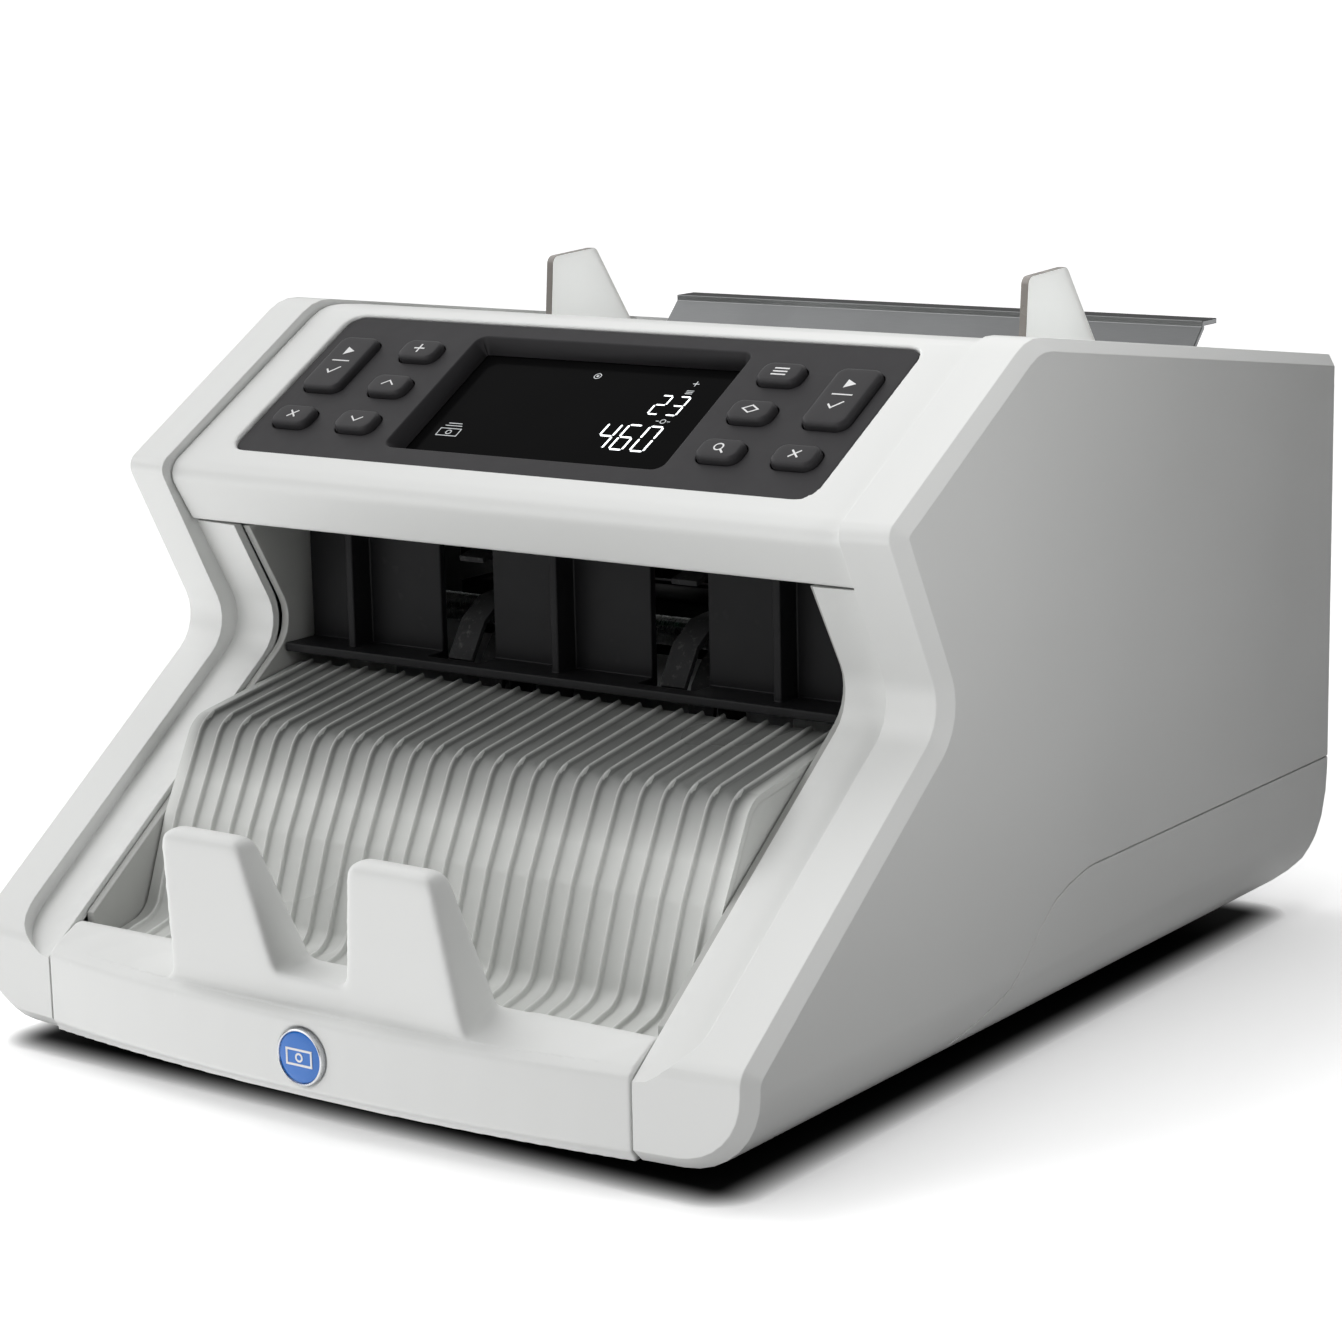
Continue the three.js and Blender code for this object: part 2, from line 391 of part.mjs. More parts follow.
put("feed_pulley", pulley(FEED, 12, -109.4, -102.4, 4.3).add(pulley(FEED, 12, -117, -109.3, 4.3)), mat(0x2a2a2c, 0.6));
put("drive_belt", belt(MOTOR, 7, FEED, 12, -108, -103.8), RUBBER());
put("stacker_pulley", pulley(STACK, 14, -117, -110, 4.3), mat(0x2a2a2c, 0.6));
put("stacker_belt", belt(STACK, 14, FEED, 12, -115.6, -111.4), RUBBER());
put("feed_transfer_pulley", pulley(FEED, 8, 102.4, 108.6, 4.3), mat(0x2a2a2c, 0.6));
put("pickup_pulley", pulley(PICK, 8, 102.4, 108.6, 3.3), mat(0x2a2a2c, 0.6));
put("pickup_belt", belt(FEED, 8, PICK, 8, 103.8, 107.2), RUBBER());

// ---------------------------------------------------------------- electrics
put("main_board", all(box(-24, 88, 120, 226, 15, 16.6), box(0, 22, 150, 172, 16, 20), box(40, 75, 130, 142, 16, 26), box(60, 84, 190, 214, 16, 24)), mat(0x1d4a2e, 0.6));
put("power_supply", all(box(8, 92, 230, 278, 14, 15.6), box(16, 44, 236, 258, 15, 38), box(52, 70, 236, 254, 15, 34), box(52, 86, 260, 276, 15, 30)), mat(0x2b3f6b, 0.6));

// ---------------------------------------------------------------- rear
const INLET = [60, 63], SWITCH = [22, 63], PORT = [-18, 60];
const HINGE = [303.0, 81.0];
let rear = SHELL.intersect(box(-STEP_X + GAP, STEP_X - GAP, 283.2, 320, 45.8, 190));
rear = rear.subtract(box(-82, 82, 298, 320, HINGE[1] - 2.8, 150));
rear = rear.subtract(box(INLET[0] - 14.3, INLET[0] + 14.3, 296, 320, INLET[1] - 10.8, INLET[1] + 10.8));
rear = rear.subtract(box(SWITCH[0] - 7.2, SWITCH[0] + 7.2, 296, 320, SWITCH[1] - 10.4, SWITCH[1] + 10.4));
rear = rear.subtract(box(PORT[0] - 9.3, PORT[0] + 9.3, 296, 320, PORT[1] - 7.3, PORT[1] + 7.3));
for (const s of [-1, 1]) rear = rear.add(box(s > 0 ? 82.6 : -88, s > 0 ? 88 : -82.6, 298, 304, 76.4, 86));
for (let i = -5; i <= 5; i++) rear = rear.subtract(box(-70 + i * 4 - 0.9, -70 + i * 4 + 0.9, 290, 320, 52, 70));
rear = rear.subtract(cylX(1.35, -90, 90, ...HINGE, 12));
put("rear_panel", rear, WHITE());
put("hatch_hinge_pin", cylX(1.0, -87.5, 87.5, ...HINGE, 12), STEEL());
let hatch = box(-81.6, 81.6, 301.7, REAR_Y, HINGE[1] - 1.2, 149.6).add(cylX(2.2, -81.6, 81.6, ...HINGE, 16));
hatch = hatch.intersect(box(-90, 90, 290, REAR_Y, 70, 160)).subtract(cylX(1.35, -90, 90, ...HINGE, 12));
hatch = hatch.subtract(box(-14, 14, 303.2, 310, 138, 144));
put("rear_hatch", hatch, WHITE());
let inlet = sY(fillet([[INLET[0] - 14, INLET[1] - 10.5, 1], [INLET[0] + 14, INLET[1] - 10.5, 1], [INLET[0] + 14, INLET[1] + 10.5, 1], [INLET[0] - 14, INLET[1] + 10.5, 1]]), 288, REAR_Y - 0.2);
inlet = inlet.subtract(sY(fillet([[INLET[0] - 12, INLET[1] - 8, 1], [INLET[0] + 12, INLET[1] - 8, 1], [INLET[0] + 12, INLET[1] + 3], [INLET[0] + 7, INLET[1] + 8], [INLET[0] - 7, INLET[1] + 8], [INLET[0] - 12, INLET[1] + 3]]), 291, 320));
for (const [dx, dz] of [[-7, -2], [7, -2], [0, 2.5]]) inlet = inlet.add(box(INLET[0] + dx - 1, INLET[0] + dx + 1, 290, 297, INLET[1] + dz - 2, INLET[1] + dz + 2));
put("power_inlet", inlet, BLACK());
const rock = fillet([[296, -6.6, 1], [303.1, -9.6, 0.6], [300.7, 0], [303.1, 9.6, 0.6], [296, 6.6, 1], [293, 0]].map(([a, b, r]) => [a, b, r]));
put("power_rocker", solid(gX(rock, SWITCH[0] - 6.7, SWITCH[0] + 6.7).translate(0, -297, 0).rotateX(0.16).translate(0, 297, SWITCH[1])), BLACK());
put("data_port", box(PORT[0] - 9, PORT[0] + 9, 290, REAR_Y - 0.2, PORT[1] - 7, PORT[1] + 7).subtract(box(PORT[0] - 6.5, PORT[0] + 6.5, 294, 320, PORT[1] - 5, PORT[1] + 4)), BLACK());

export default root;
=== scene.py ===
import json
import math
import bmesh
import bpy
import numpy as np
from mathutils import Matrix, Vector
from mathutils.bvhtree import BVHTree

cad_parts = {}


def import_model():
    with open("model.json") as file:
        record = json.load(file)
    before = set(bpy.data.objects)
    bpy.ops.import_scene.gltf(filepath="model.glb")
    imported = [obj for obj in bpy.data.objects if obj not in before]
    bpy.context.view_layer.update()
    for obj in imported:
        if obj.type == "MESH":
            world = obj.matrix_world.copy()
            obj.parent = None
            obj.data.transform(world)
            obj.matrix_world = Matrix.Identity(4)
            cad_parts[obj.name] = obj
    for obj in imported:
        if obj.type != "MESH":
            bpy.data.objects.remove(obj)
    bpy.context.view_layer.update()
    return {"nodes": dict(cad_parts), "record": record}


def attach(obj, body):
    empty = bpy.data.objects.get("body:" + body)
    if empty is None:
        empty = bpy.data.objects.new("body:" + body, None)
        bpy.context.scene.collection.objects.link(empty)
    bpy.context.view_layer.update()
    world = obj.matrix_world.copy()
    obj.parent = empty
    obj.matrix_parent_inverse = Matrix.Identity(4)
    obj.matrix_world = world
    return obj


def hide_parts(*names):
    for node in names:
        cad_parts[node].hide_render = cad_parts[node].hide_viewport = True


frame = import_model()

NODES = frame["nodes"]
YS = 147.85  # the CAD origin lies this far behind the front of the side panels, mm
GLASS_H = -4.7  # top of the display window below the panel face, mm
KEY_H = 2.0
SC = bpy.context.scene
LOBE_DIR = (-0.70, -0.69, -0.18)
LOBE = (-0.08, 0.9, 0.01, 2.07)  # dot product from, to, strength from, to
BAND = (0.16, 0.42)
KEY_SUN = 0.88
FILL = 0.29
FLOOR_GLOW = 0.4
TOP = 0.5
COLL = SC.collection
rad = math.radians


# ------------------------------------------------------------------ node materials
class Mat:
    """A node material with the common inputs at hand."""

    def __init__(self, name, rough=0.5, metal=0.0, spec=0.5, coat=0.0, ior=1.46):
        self.m = bpy.data.materials.new(name)
        self.m.use_nodes = True
        self.t = self.m.node_tree
        self.b = self.t.nodes["Principled BSDF"]
        self.b.inputs["Roughness"].default_value = rough
        self.b.inputs["Metallic"].default_value = metal
        self.b.inputs["Specular IOR Level"].default_value = spec
        self.b.inputs["Coat Weight"].default_value = coat
        self.b.inputs["IOR"].default_value = ior
        self.co = self.n("ShaderNodeTexCoord").outputs["Object"]

    def n(self, kind, **props):
        x = self.t.nodes.new(kind)
        for k, v in props.items():
            setattr(x, k, v)
        return x

    def link(self, a, b):
        self.t.links.new(a, b)

    def noise(self, scale, detail=3.0, rough=0.5, coord=None, dist=0.0):
        x = self.n("ShaderNodeTexNoise")
        x.inputs["Scale"].default_value = scale
        x.inputs["Detail"].default_value = detail
        x.inputs["Roughness"].default_value = rough
        x.inputs["Distortion"].default_value = dist
        self.link(coord or self.co, x.inputs["Vector"])
        return x.outputs["Fac"]

    def voronoi(self, scale, feature="F1", coord=None, out="Distance"):
        x = self.n("ShaderNodeTexVoronoi", feature=feature)
        x.inputs["Scale"].default_value = scale
        self.link(coord or self.co, x.inputs["Vector"])
        return x.outputs[out]

    def stretch(self, sx, sy, sz, rot=(0, 0, 0)):
        x = self.n("ShaderNodeMapping")
        x.inputs["Scale"].default_value = (sx, sy, sz)
        x.inputs["Rotation"].default_value = rot
        self.link(self.co, x.inputs["Vector"])
        return x.outputs["Vector"]

    def span(self, v, a, b, c, d, clamp=True):
        x = self.n("ShaderNodeMapRange", clamp=clamp)
        for k, q in zip(("From Min", "From Max", "To Min", "To Max"), (a, b, c, d)):
            x.inputs[k].default_value = q
        self.link(v, x.inputs["Value"])
        return x.outputs["Result"]

    def mix(self, fac, a, b):
        x = self.n("ShaderNodeMix", data_type="RGBA")
        for s, q in ((x.inputs["Factor"], fac), (x.inputs["A"], a), (x.inputs["B"], b)):
            if isinstance(q, bpy.types.NodeSocket):
                self.link(q, s)
            elif isinstance(q, (int, float)):
                s.default_value = q
            else:
                s.default_value = (*q, 1.0)
        return x.outputs["Result"]

    def math(self, op, a, b=0.0):
        x = self.n("ShaderNodeMath", operation=op)
        for s, q in ((x.inputs[0], a), (x.inputs[1], b)):
            if isinstance(q, bpy.types.NodeSocket):
                self.link(q, s)
            else:
                s.default_value = q
        return x.outputs[0]

    def color(self, c):
        self.link(c, self.b.inputs["Base Color"])

    def rough(self, v):
        self.link(v, self.b.inputs["Roughness"])

    def bump(self, height, distance, strength=1.0, prev=None):
        x = self.n("ShaderNodeBump")
        x.inputs["Distance"].default_value = distance
        x.inputs["Strength"].default_value = strength
        self.link(height, x.inputs["Height"])
        if prev is not None:
            self.link(prev, x.inputs["Normal"])
        self.link(x.outputs["Normal"], self.b.inputs["Normal"])
        return x.outputs["Normal"]

    def edges(self, lo=0.53, hi=0.62):
        return self.span(self.n("ShaderNodeNewGeometry").outputs["Pointiness"], lo, hi, 0, 1)


def plastic(name, rgb, rough=0.45, spread=0.05, var=0.03, grain=9e-6, gscale=2200.0, wear=0.35, dust=0.0, spec=0.5, coat=0.0):
    """Moulded plastic: a fine spark-eroded grain, slow colour and gloss drift, worn edges and faint dust."""
    m = Mat(name, rough, spec=spec, coat=coat)
    slow = m.noise(18, 3)
    c = m.mix(slow, [v * (1 - var) for v in rgb], [min(1, v * (1 + var)) for v in rgb])
    patch = m.noise(190, 3)
    c = m.mix(m.math("MULTIPLY", m.edges(), m.span(patch, 0.42, 0.62, 0, wear)), c, [min(1, v * 1.12 + 0.012) for v in rgb])
    if dust:
        c = m.mix(m.span(patch, 0.66, 0.8, 0, dust), c, (0.55, 0.54, 0.52))
    m.color(c)
    m.rough(m.span(m.math("ADD", m.math("MULTIPLY", slow, 0.6), m.math("MULTIPLY", patch, 0.4)), 0.35, 0.65, rough - spread, rough + spread))
    b = m.bump(m.noise(gscale, 2), grain)
    m.bump(slow, 5e-5, prev=b)
    return m.m


def rubber(name, rgb, rough=0.75, ribs=None):
    m = Mat(name, rough, spec=0.35)
    c = m.mix(m.noise(60, 4), [v * 0.75 for v in rgb], [v * 1.3 for v in rgb])
    c = m.mix(m.math("MULTIPLY", m.span(m.noise(500, 5, 0.7), 0.55, 0.7, 0, 1), 0.25), c, (0.2, 0.195, 0.19))
    m.color(c)
    m.rough(m.span(m.noise(120, 4), 0.3, 0.7, rough - 0.1, rough + 0.1))
    m.bump(m.noise(2200, 3), 2e-5)
    return m.m


def metal(name, rgb, rough=0.3, brush=(1, 40, 40), scratch=0.5):
    """Rolled or turned metal: long fine brush lines, small scratches and gloss patches."""
    m = Mat(name, rough, metal=1.0)
    lines = m.noise(90, 5, 0.7, coord=m.stretch(*brush))
    c = m.mix(lines, [v * 0.82 for v in rgb], [min(1, v * 1.1) for v in rgb])
    m.color(m.mix(m.math("MULTIPLY", m.span(m.noise(35, 4), 0.5, 0.7, 0, 1), 0.2), c, [v * 0.6 for v in rgb]))
    m.rough(m.math("ADD", m.span(lines, 0.3, 0.7, rough - 0.06, rough + 0.1), m.math("MULTIPLY", m.span(m.noise(300, 4, coord=m.stretch(1, 9, 9)), 0.6, 0.7, 0, 1), 0.12 * scratch)))
    m.bump(lines, 4e-6)
    return m.m


# frosted sheet; painted_glow is emission, a painted glow that brightens its shaded faces
def frosted(name, rgb, rough=0.38, trans=1.0, painted_glow=0.2):
    m = Mat(name, rough, ior=1.49)
    m.b.inputs["Transmission Weight"].default_value = trans
    m.color(m.mix(m.noise(50, 3), [v * 0.97 for v in rgb], rgb))
    m.rough(m.span(m.noise(90, 3), 0.3, 0.7, rough - 0.03, rough + 0.04))
    m.bump(m.noise(500, 2), 3e-6)
    m.link(m.mix(m.noise(30, 2), [v * 0.95 for v in rgb], rgb), m.b.inputs["Emission Color"])
    m.b.inputs["Emission Strength"].default_value = painted_glow  # painted glow: emission that lights the shaded sheet, standing in for light carried inside it
    return m.m


def smoky(name, rgb, dark, z0, z1):
    """Half-clear smoky plastic of the ribbed ramp, with painted shade: the colour darkens with height, so the deck over
    the dark interior reads darker than the front apron.
    """
    m = Mat(name, 0.3, ior=1.5, coat=0.1)
    sep = m.n("ShaderNodeSeparateXYZ")
    m.link(m.co, sep.inputs[0])
    # painted shade: the colour goes dark between heights z0 and z1
    deck_painted_shade = m.span(sep.outputs["Z"], z0, z1, 0, 1)
    c = m.mix(deck_painted_shade, rgb, dark)
    tone = m.noise(16, 2)
    c = m.mix(m.math("MULTIPLY", tone, 0.12), c, [v * 0.8 for v in rgb])
    # painted highlight: the rib crests are lighter
    c = m.mix(m.math("MULTIPLY", m.edges(0.51, 0.58), 0.55), c, [min(1, v * 1.25) for v in rgb])
    m.color(c)
    m.rough(m.span(tone, 0.35, 0.65, 0.27, 0.36))
    m.bump(m.noise(1600, 2), 4e-6)
    return m.m


def glass_black(name):
    m = Mat(name, 0.12, spec=0.02, ior=1.3)
    m.color(m.mix(m.noise(30, 3), (0.0035, 0.0035, 0.0036), (0.005, 0.005, 0.0052)))
    smear = m.span(m.noise(45, 5, 0.65), 0.45, 0.75, 0.09, 0.2)
    m.rough(smear)
    m.bump(m.noise(25, 2), 6e-6)
    return m.m


def printed(name, rgb, emit=0.0, rough=0.5):
    m = Mat(name, rough)
    c = m.mix(m.noise(900, 3), [v * 0.93 for v in rgb], rgb)
    m.color(c)
    m.rough(m.span(m.noise(700, 3), 0.3, 0.7, rough - 0.08, rough + 0.08))
    m.bump(m.noise(3000, 2), 4e-6)
    if emit:
        m.link(c, m.b.inputs["Emission Color"])
        m.b.inputs["Emission Strength"].default_value = emit
    return m.m


def board(name, rgb):
    m = Mat(name, 0.35, spec=0.5, coat=0.3)
    tracks = m.span(m.voronoi(260, "DISTANCE_TO_EDGE"), 0.0, 0.08, 1, 0)
    m.color(m.mix(m.math("MULTIPLY", tracks, 0.5), m.mix(m.noise(40, 3), [v * 0.85 for v in rgb], rgb), [min(1, v * 2.2) for v in rgb]))
    m.rough(m.span(m.noise(150, 3), 0.3, 0.7, 0.3, 0.45))
    m.bump(tracks, 2e-5)
    return m.m


M = {
    "white": plastic("housing_white", (0.775, 0.782, 0.77), 0.42, 0.05, 0.012, 7e-6, 2600, 0.25, 0.02),
    "rear_white": plastic("rear_white", (0.80, 0.805, 0.795), 0.5, 0.05, 0.015, 1.2e-5, 1900, 0.3, 0.03),
    "panel": plastic("panel_dark", (0.034, 0.033, 0.035), 0.5, 0.05, 0.05, 9e-6, 2800, 0.25, 0.01, 0.22),
    "key": plastic("key_dark", (0.033, 0.032, 0.034), 0.45, 0.05, 0.06, 6e-6, 3000, 0.35, 0.01, 0.25),
    "pocket": plastic("pocket_grey", (0.46, 0.465, 0.45), 0.4, 0.06, 0.05, 9e-6, 2400, 0.3, 0.05),
    # the second colour is the painted shade of the deck
    "ramp": smoky("ramp_smoky", (0.63, 0.64, 0.62), (0.16, 0.165, 0.16), 0.066, 0.081),
    "black": plastic("black_plastic", (0.008, 0.008, 0.009), 0.5, 0.06, 0.15, 1e-5, 2400, 0.3, 0.015, 0.25),
    "hopper": plastic("hopper_grey", (0.62, 0.63, 0.61), 0.46, 0.05, 0.03, 1e-5, 2400, 0.3, 0.03),
    # the guide sheets take the default painted glow of 0.2
    "guide": frosted("guide_frosted", (0.93, 0.94, 0.93), 0.5, 0.5),
    "gear": plastic("gear_white", (0.72, 0.72, 0.7), 0.4, 0.05, 0.02, 4e-6, 2400, 0.2),
    "pulley": plastic("pulley_black", (0.02, 0.02, 0.022), 0.5, 0.06, 0.1, 1e-5, 2400, 0.3, 0.05),
    "steel": metal("steel_sheet", (0.3, 0.306, 0.31), 0.34, (2, 60, 60)),
    "steel_dark": plastic("steel_blackened", (0.01, 0.01, 0.011), 0.42, 0.06, 0.15, 6e-6, 1800, 0.4, 0.02, 0.2),
    # painted shade for the rim faces of the guide sheets
    "guide_edge_painted_shade": plastic("guide_edge_painted_shade", (0.33, 0.305, 0.285), 0.3, 0.05, 0.06, 4e-6, 2200, 0.3, 0.0),
    "turned": metal("steel_turned", (0.62, 0.62, 0.63), 0.24, (90, 3, 3)),
    "motor": metal("motor_zinc", (0.5, 0.51, 0.52), 0.38, (8, 8, 8)),
    "rubber": rubber("roller_rubber", (0.018, 0.018, 0.019)),
    "foot": rubber("foot_rubber", (0.022, 0.022, 0.022), 0.82),
    "retard": rubber("retard_rubber", (0.2, 0.085, 0.035), 0.7),
    "glass": glass_black("display_glass"),
    "pcb": board("board_green", (0.012, 0.09, 0.04)),
    "pcb_blue": board("board_blue", (0.02, 0.06, 0.2)),
    "legend": printed("legend_white", (0.8, 0.8, 0.8)),
    "digit": printed("display_lit", (0.92, 0.95, 0.97), 1.6),
    "digit_dim": printed("display_dim", (0.55, 0.57, 0.58), 0.35),
    "badge": plastic("badge_blue", (0.012, 0.17, 0.62), 0.2, 0.04, 0.06, 1e-6, 2000, 0.2, 0, 0.5, 0.5),
    "silver": metal("badge_silver", (0.72, 0.73, 0.75), 0.22, (30, 30, 30), 0.3),
    "badge_white": printed("badge_white", (0.9, 0.9, 0.9), 0, 0.35),
}


# ------------------------------------------------------------------ mesh helpers
def obj(name, me):
    o = bpy.data.objects.new(name, me)
    COLL.objects.link(o)
    return o


def setmat(o, m):
    o.data.materials.clear()
    o.data.materials.append(M[m] if isinstance(m, str) else m)
    return o


def baked(o):
    """The object's modifiers applied to its mesh."""
    bpy.context.view_layer.update()
    dg = bpy.context.evaluated_depsgraph_get()
    me = bpy.data.meshes.new_from_object(o.evaluated_get(dg), preserve_all_data_layers=True, depsgraph=dg)
    old = o.data
    o.modifiers.clear()
    o.data = me
    bpy.data.meshes.remove(old)
    me.name = o.name
    return o


def soft_edges(o, w, seg=2, ang=30, weight=True, clamp=False):
    if w:
        b = o.modifiers.new("b", "BEVEL")
        b.width, b.segments, b.limit_method, b.angle_limit = w / 1000, seg, "ANGLE", rad(ang)
        b.use_clamp_overlap = clamp
        b.miter_outer = "MITER_ARC"
    o.data.polygons.foreach_set("use_smooth", [True] * len(o.data.polygons))
    if weight:
        n = o.modifiers.new("n", "WEIGHTED_NORMAL")
        n.keep_sharp, n.weight = True, 60
    return baked(o)


def clean(me, flat=0.6, merge=4e-6):
    bm = bmesh.new()
    bm.from_mesh(me)
    bmesh.ops.remove_doubles(bm, verts=bm.verts, dist=merge)
    bmesh.ops.dissolve_degenerate(bm, dist=2e-6, edges=bm.edges)
    bmesh.ops.dissolve_limit(bm, angle_limit=rad(flat), verts=bm.verts, edges=bm.edges)
    bm.to_mesh(me)
    bm.free()


def strays(me, tree, reach):
    """The area, mm2, of a bevelled mesh that left the surface it came from or folds over it."""
    bad = 0.0
    me.calc_loop_triangles()
    V_ = me.vertices
    for t in me.loop_triangles:
        ar = t.area * 1e6
        if ar < 0.004:
            continue
        p = [V_[i].co for i in t.vertices]
        hit = tree.find_nearest((p[0] + p[1] + p[2]) / 3)
        if hit[3] > reach or ((p[1] - p[0]).cross(p[2] - p[0]).normalized().dot(hit[1]) < 0.1 and hit[3] < 4e-5 and ar > 0.02):
            bad += ar
    return bad


LOG = {}


def finish_skin(o, node, m):
    setmat(o, m)
    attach(o, BODY[node])
    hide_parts(node)
    return o


def skin(node, m, w=0.4, seg=2, ang=30, flat=0.6):
    """A finished skin for a CAD node: the same shape, with softened edges and clean shading. The widest bevel that stays on the surface is kept."""
    src = NODES[node].data
    bm = bmesh.new()
    bm.from_mesh(src)
    tree = BVHTree.FromBMesh(bm)
    bm.free()
    best = None
    for width, fl, cl in ((w, flat, True), (w, 0.02, True), (w * 0.5, flat, False), (w * 0.5, 0.02, False), (w * 0.25, 0.02, False), (0, 0.02, False)):
        o = obj(node + "_skin", src.copy())
        clean(o.data, fl)
        soft_edges(o, width, seg if width else 1, ang, clamp=cl)
        n = strays(o.data, tree, (0.5 * width + 0.06) / 1000)
        if best is None or n < best[0]:
            if best:
                bpy.data.objects.remove(best[1])
            best = (n, o, width, fl, cl)
        else:
            bpy.data.objects.remove(o)
        if best[0] < 2.0:
            break
    LOG[node] = (round(best[0], 3), round(best[2], 3), best[3], best[4])
    return finish_skin(best[1], node, m)


def relax(o, passes, weight, lam=0.5):
    """Smooths a mesh with a weight per vertex."""
    me = o.data
    n = len(me.vertices)
    co = np.empty(n * 3)
    me.vertices.foreach_get("co", co)
    co = co.reshape(n, 3)
    ed = np.empty(len(me.edges) * 2, dtype=np.int64)
    me.edges.foreach_get("vertices", ed)
    a_, b_ = ed[0::2], ed[1::2]
    deg = np.maximum(1, np.bincount(a_, minlength=n) + np.bincount(b_, minlength=n))
    for k in range(passes):
        wt = lam * (weight(co, k) if callable(weight) else weight)
        for c in range(3):
            av = (np.bincount(a_, co[b_, c], n) + np.bincount(b_, co[a_, c], n)) / deg
            if c == 0:
                new = np.empty_like(co)
            new[:, c] = co[:, c] + wt * (av - co[:, c])
        co = new
    me.vertices.foreach_set("co", co.ravel())
    me.update()
    return co


def moulded(node, m, size, weight, passes, keep=0.35, shape=None):
    """A skin remeshed finely and relaxed, for parts whose edges and inner corners flow into each other."""
    o = obj(node + "_skin", NODES[node].data.copy())
    clean(o.data, 0.02)
    r = o.modifiers.new("r", "REMESH")
    r.mode, r.voxel_size, r.adaptivity, r.use_smooth_shade = "VOXEL", size / 1000, 0.0, True
    baked(o)
    co = relax(o, passes, weight)
    if shape:
        o.data.vertices.foreach_set("co", shape(co).ravel())
        o.data.update()
    d = o.modifiers.new("d", "DECIMATE")
    d.ratio = keep
    baked(o)
    o.data.polygons.foreach_set("use_smooth", [True] * len(o.data.polygons))
    LOG[node] = ("remeshed", len(o.data.polygons))
    return finish_skin(o, node, m)


BODY = {n: b for b, ns in frame["record"]["behaviour"]["bodies"].items() for n in ns}

A30 = rad(30)
PM = Matrix.Translation(Vector((0, (77.7 - YS) / 1000, 0.1498))) @ Matrix.Rotation(A30, 4, "X") @ Matrix.Scale(0.001, 4)
# PM: panel frame in mm (x across, y up the slope, z out of the face) to the part's frame in metres
WORLD = Matrix.Translation(Vector((0, -YS / 1000, 0))) @ Matrix.Scale(0.001, 4)


def mesh_of(name, verts, faces, mtx=WORLD):
    me = bpy.data.meshes.new(name)
    me.from_pydata([mtx @ Vector(v) for v in verts], [], faces)
    me.validate()
    bm = bmesh.new()
    bm.from_mesh(me)
    bmesh.ops.recalc_face_normals(bm, faces=bm.faces)
    bm.to_mesh(me)
    bm.free()
    return me


def round_poly(pts, n=6):
    """[x, y, r] corners -> points with true arcs."""
    out = []
    k = len(pts)
    for i, p in enumerate(pts):
        x, y, r = (*p, 0)[:3]
        a = Vector(pts[i - 1][:2]) - Vector((x, y))
        b = Vector(pts[(i + 1) % k][:2]) - Vector((x, y))
        if r <= 0:
            out.append((x, y))
            continue
        la, lb = a.length, b.length
        a.normalize(); b.normalize()
        th = a.angle(b)
        t = min(r / math.tan(th / 2), la * 0.499, lb * 0.499)
        r = t * math.tan(th / 2)
        c = Vector((x, y)) + (a + b).normalized() * (r / math.sin(th / 2))
        s, e = Vector((x, y)) + a * t - c, Vector((x, y)) + b * t - c
        d = s.angle_signed(e)
        for j in range(n + 1):
            v = s.copy()
            v.rotate(Matrix.Rotation(-d * j / n, 2)) if hasattr(v, "rotate") else None
            out.append((c.x + v.x, c.y + v.y))
    return out


def rrect(x0, x1, y0, y1, r, n=6):
    return round_poly([(x0, y0, r), (x1, y0, r), (x1, y1, r), (x0, y1, r)], n)


def loft(name, rings, mtx=WORLD, cap=True):
    """Closed skin through rings of equal point count, [(x, y, z), ...] each."""
    n = len(rings[0])
    verts = [p for r in rings for p in r]
    faces = []
    for i in range(len(rings) - 1):
        for j in range(n):
            a, b = i * n + j, i * n + (j + 1) % n
            faces.append((a, b, b + n, a + n))
    if cap:
        faces.append(tuple(range(n - 1, -1, -1)))
        faces.append(tuple(range((len(rings) - 1) * n, len(rings) * n)))
    return mesh_of(name, verts, faces, mtx)


def smooth(o, ang=35):
    o.data.polygons.foreach_set("use_smooth", [True] * len(o.data.polygons))
    o.data.set_sharp_from_angle(angle=rad(ang))
    return o


def ribbon(pts, w, closed=False):
    """A stroke of width w along a polyline, as a list of (left, right) points."""
    out, n = [], len(pts)
    P = [Vector(p) for p in pts]
    for i in range(n):
        d1 = (P[i] - P[i - 1]).normalized() if (i or closed) else (P[1] - P[0]).normalized()
        d2 = (P[(i + 1) % n] - P[i]).normalized() if (i < n - 1 or closed) else d1
        n1, n2 = Vector((-d1.y, d1.x)), Vector((-d2.y, d2.x))
        m = (n1 + n2).normalized()
        k = w / 2 / max(0.35, m.dot(n1))
        out.append((P[i] + m * k, P[i] - m * k))
    return out


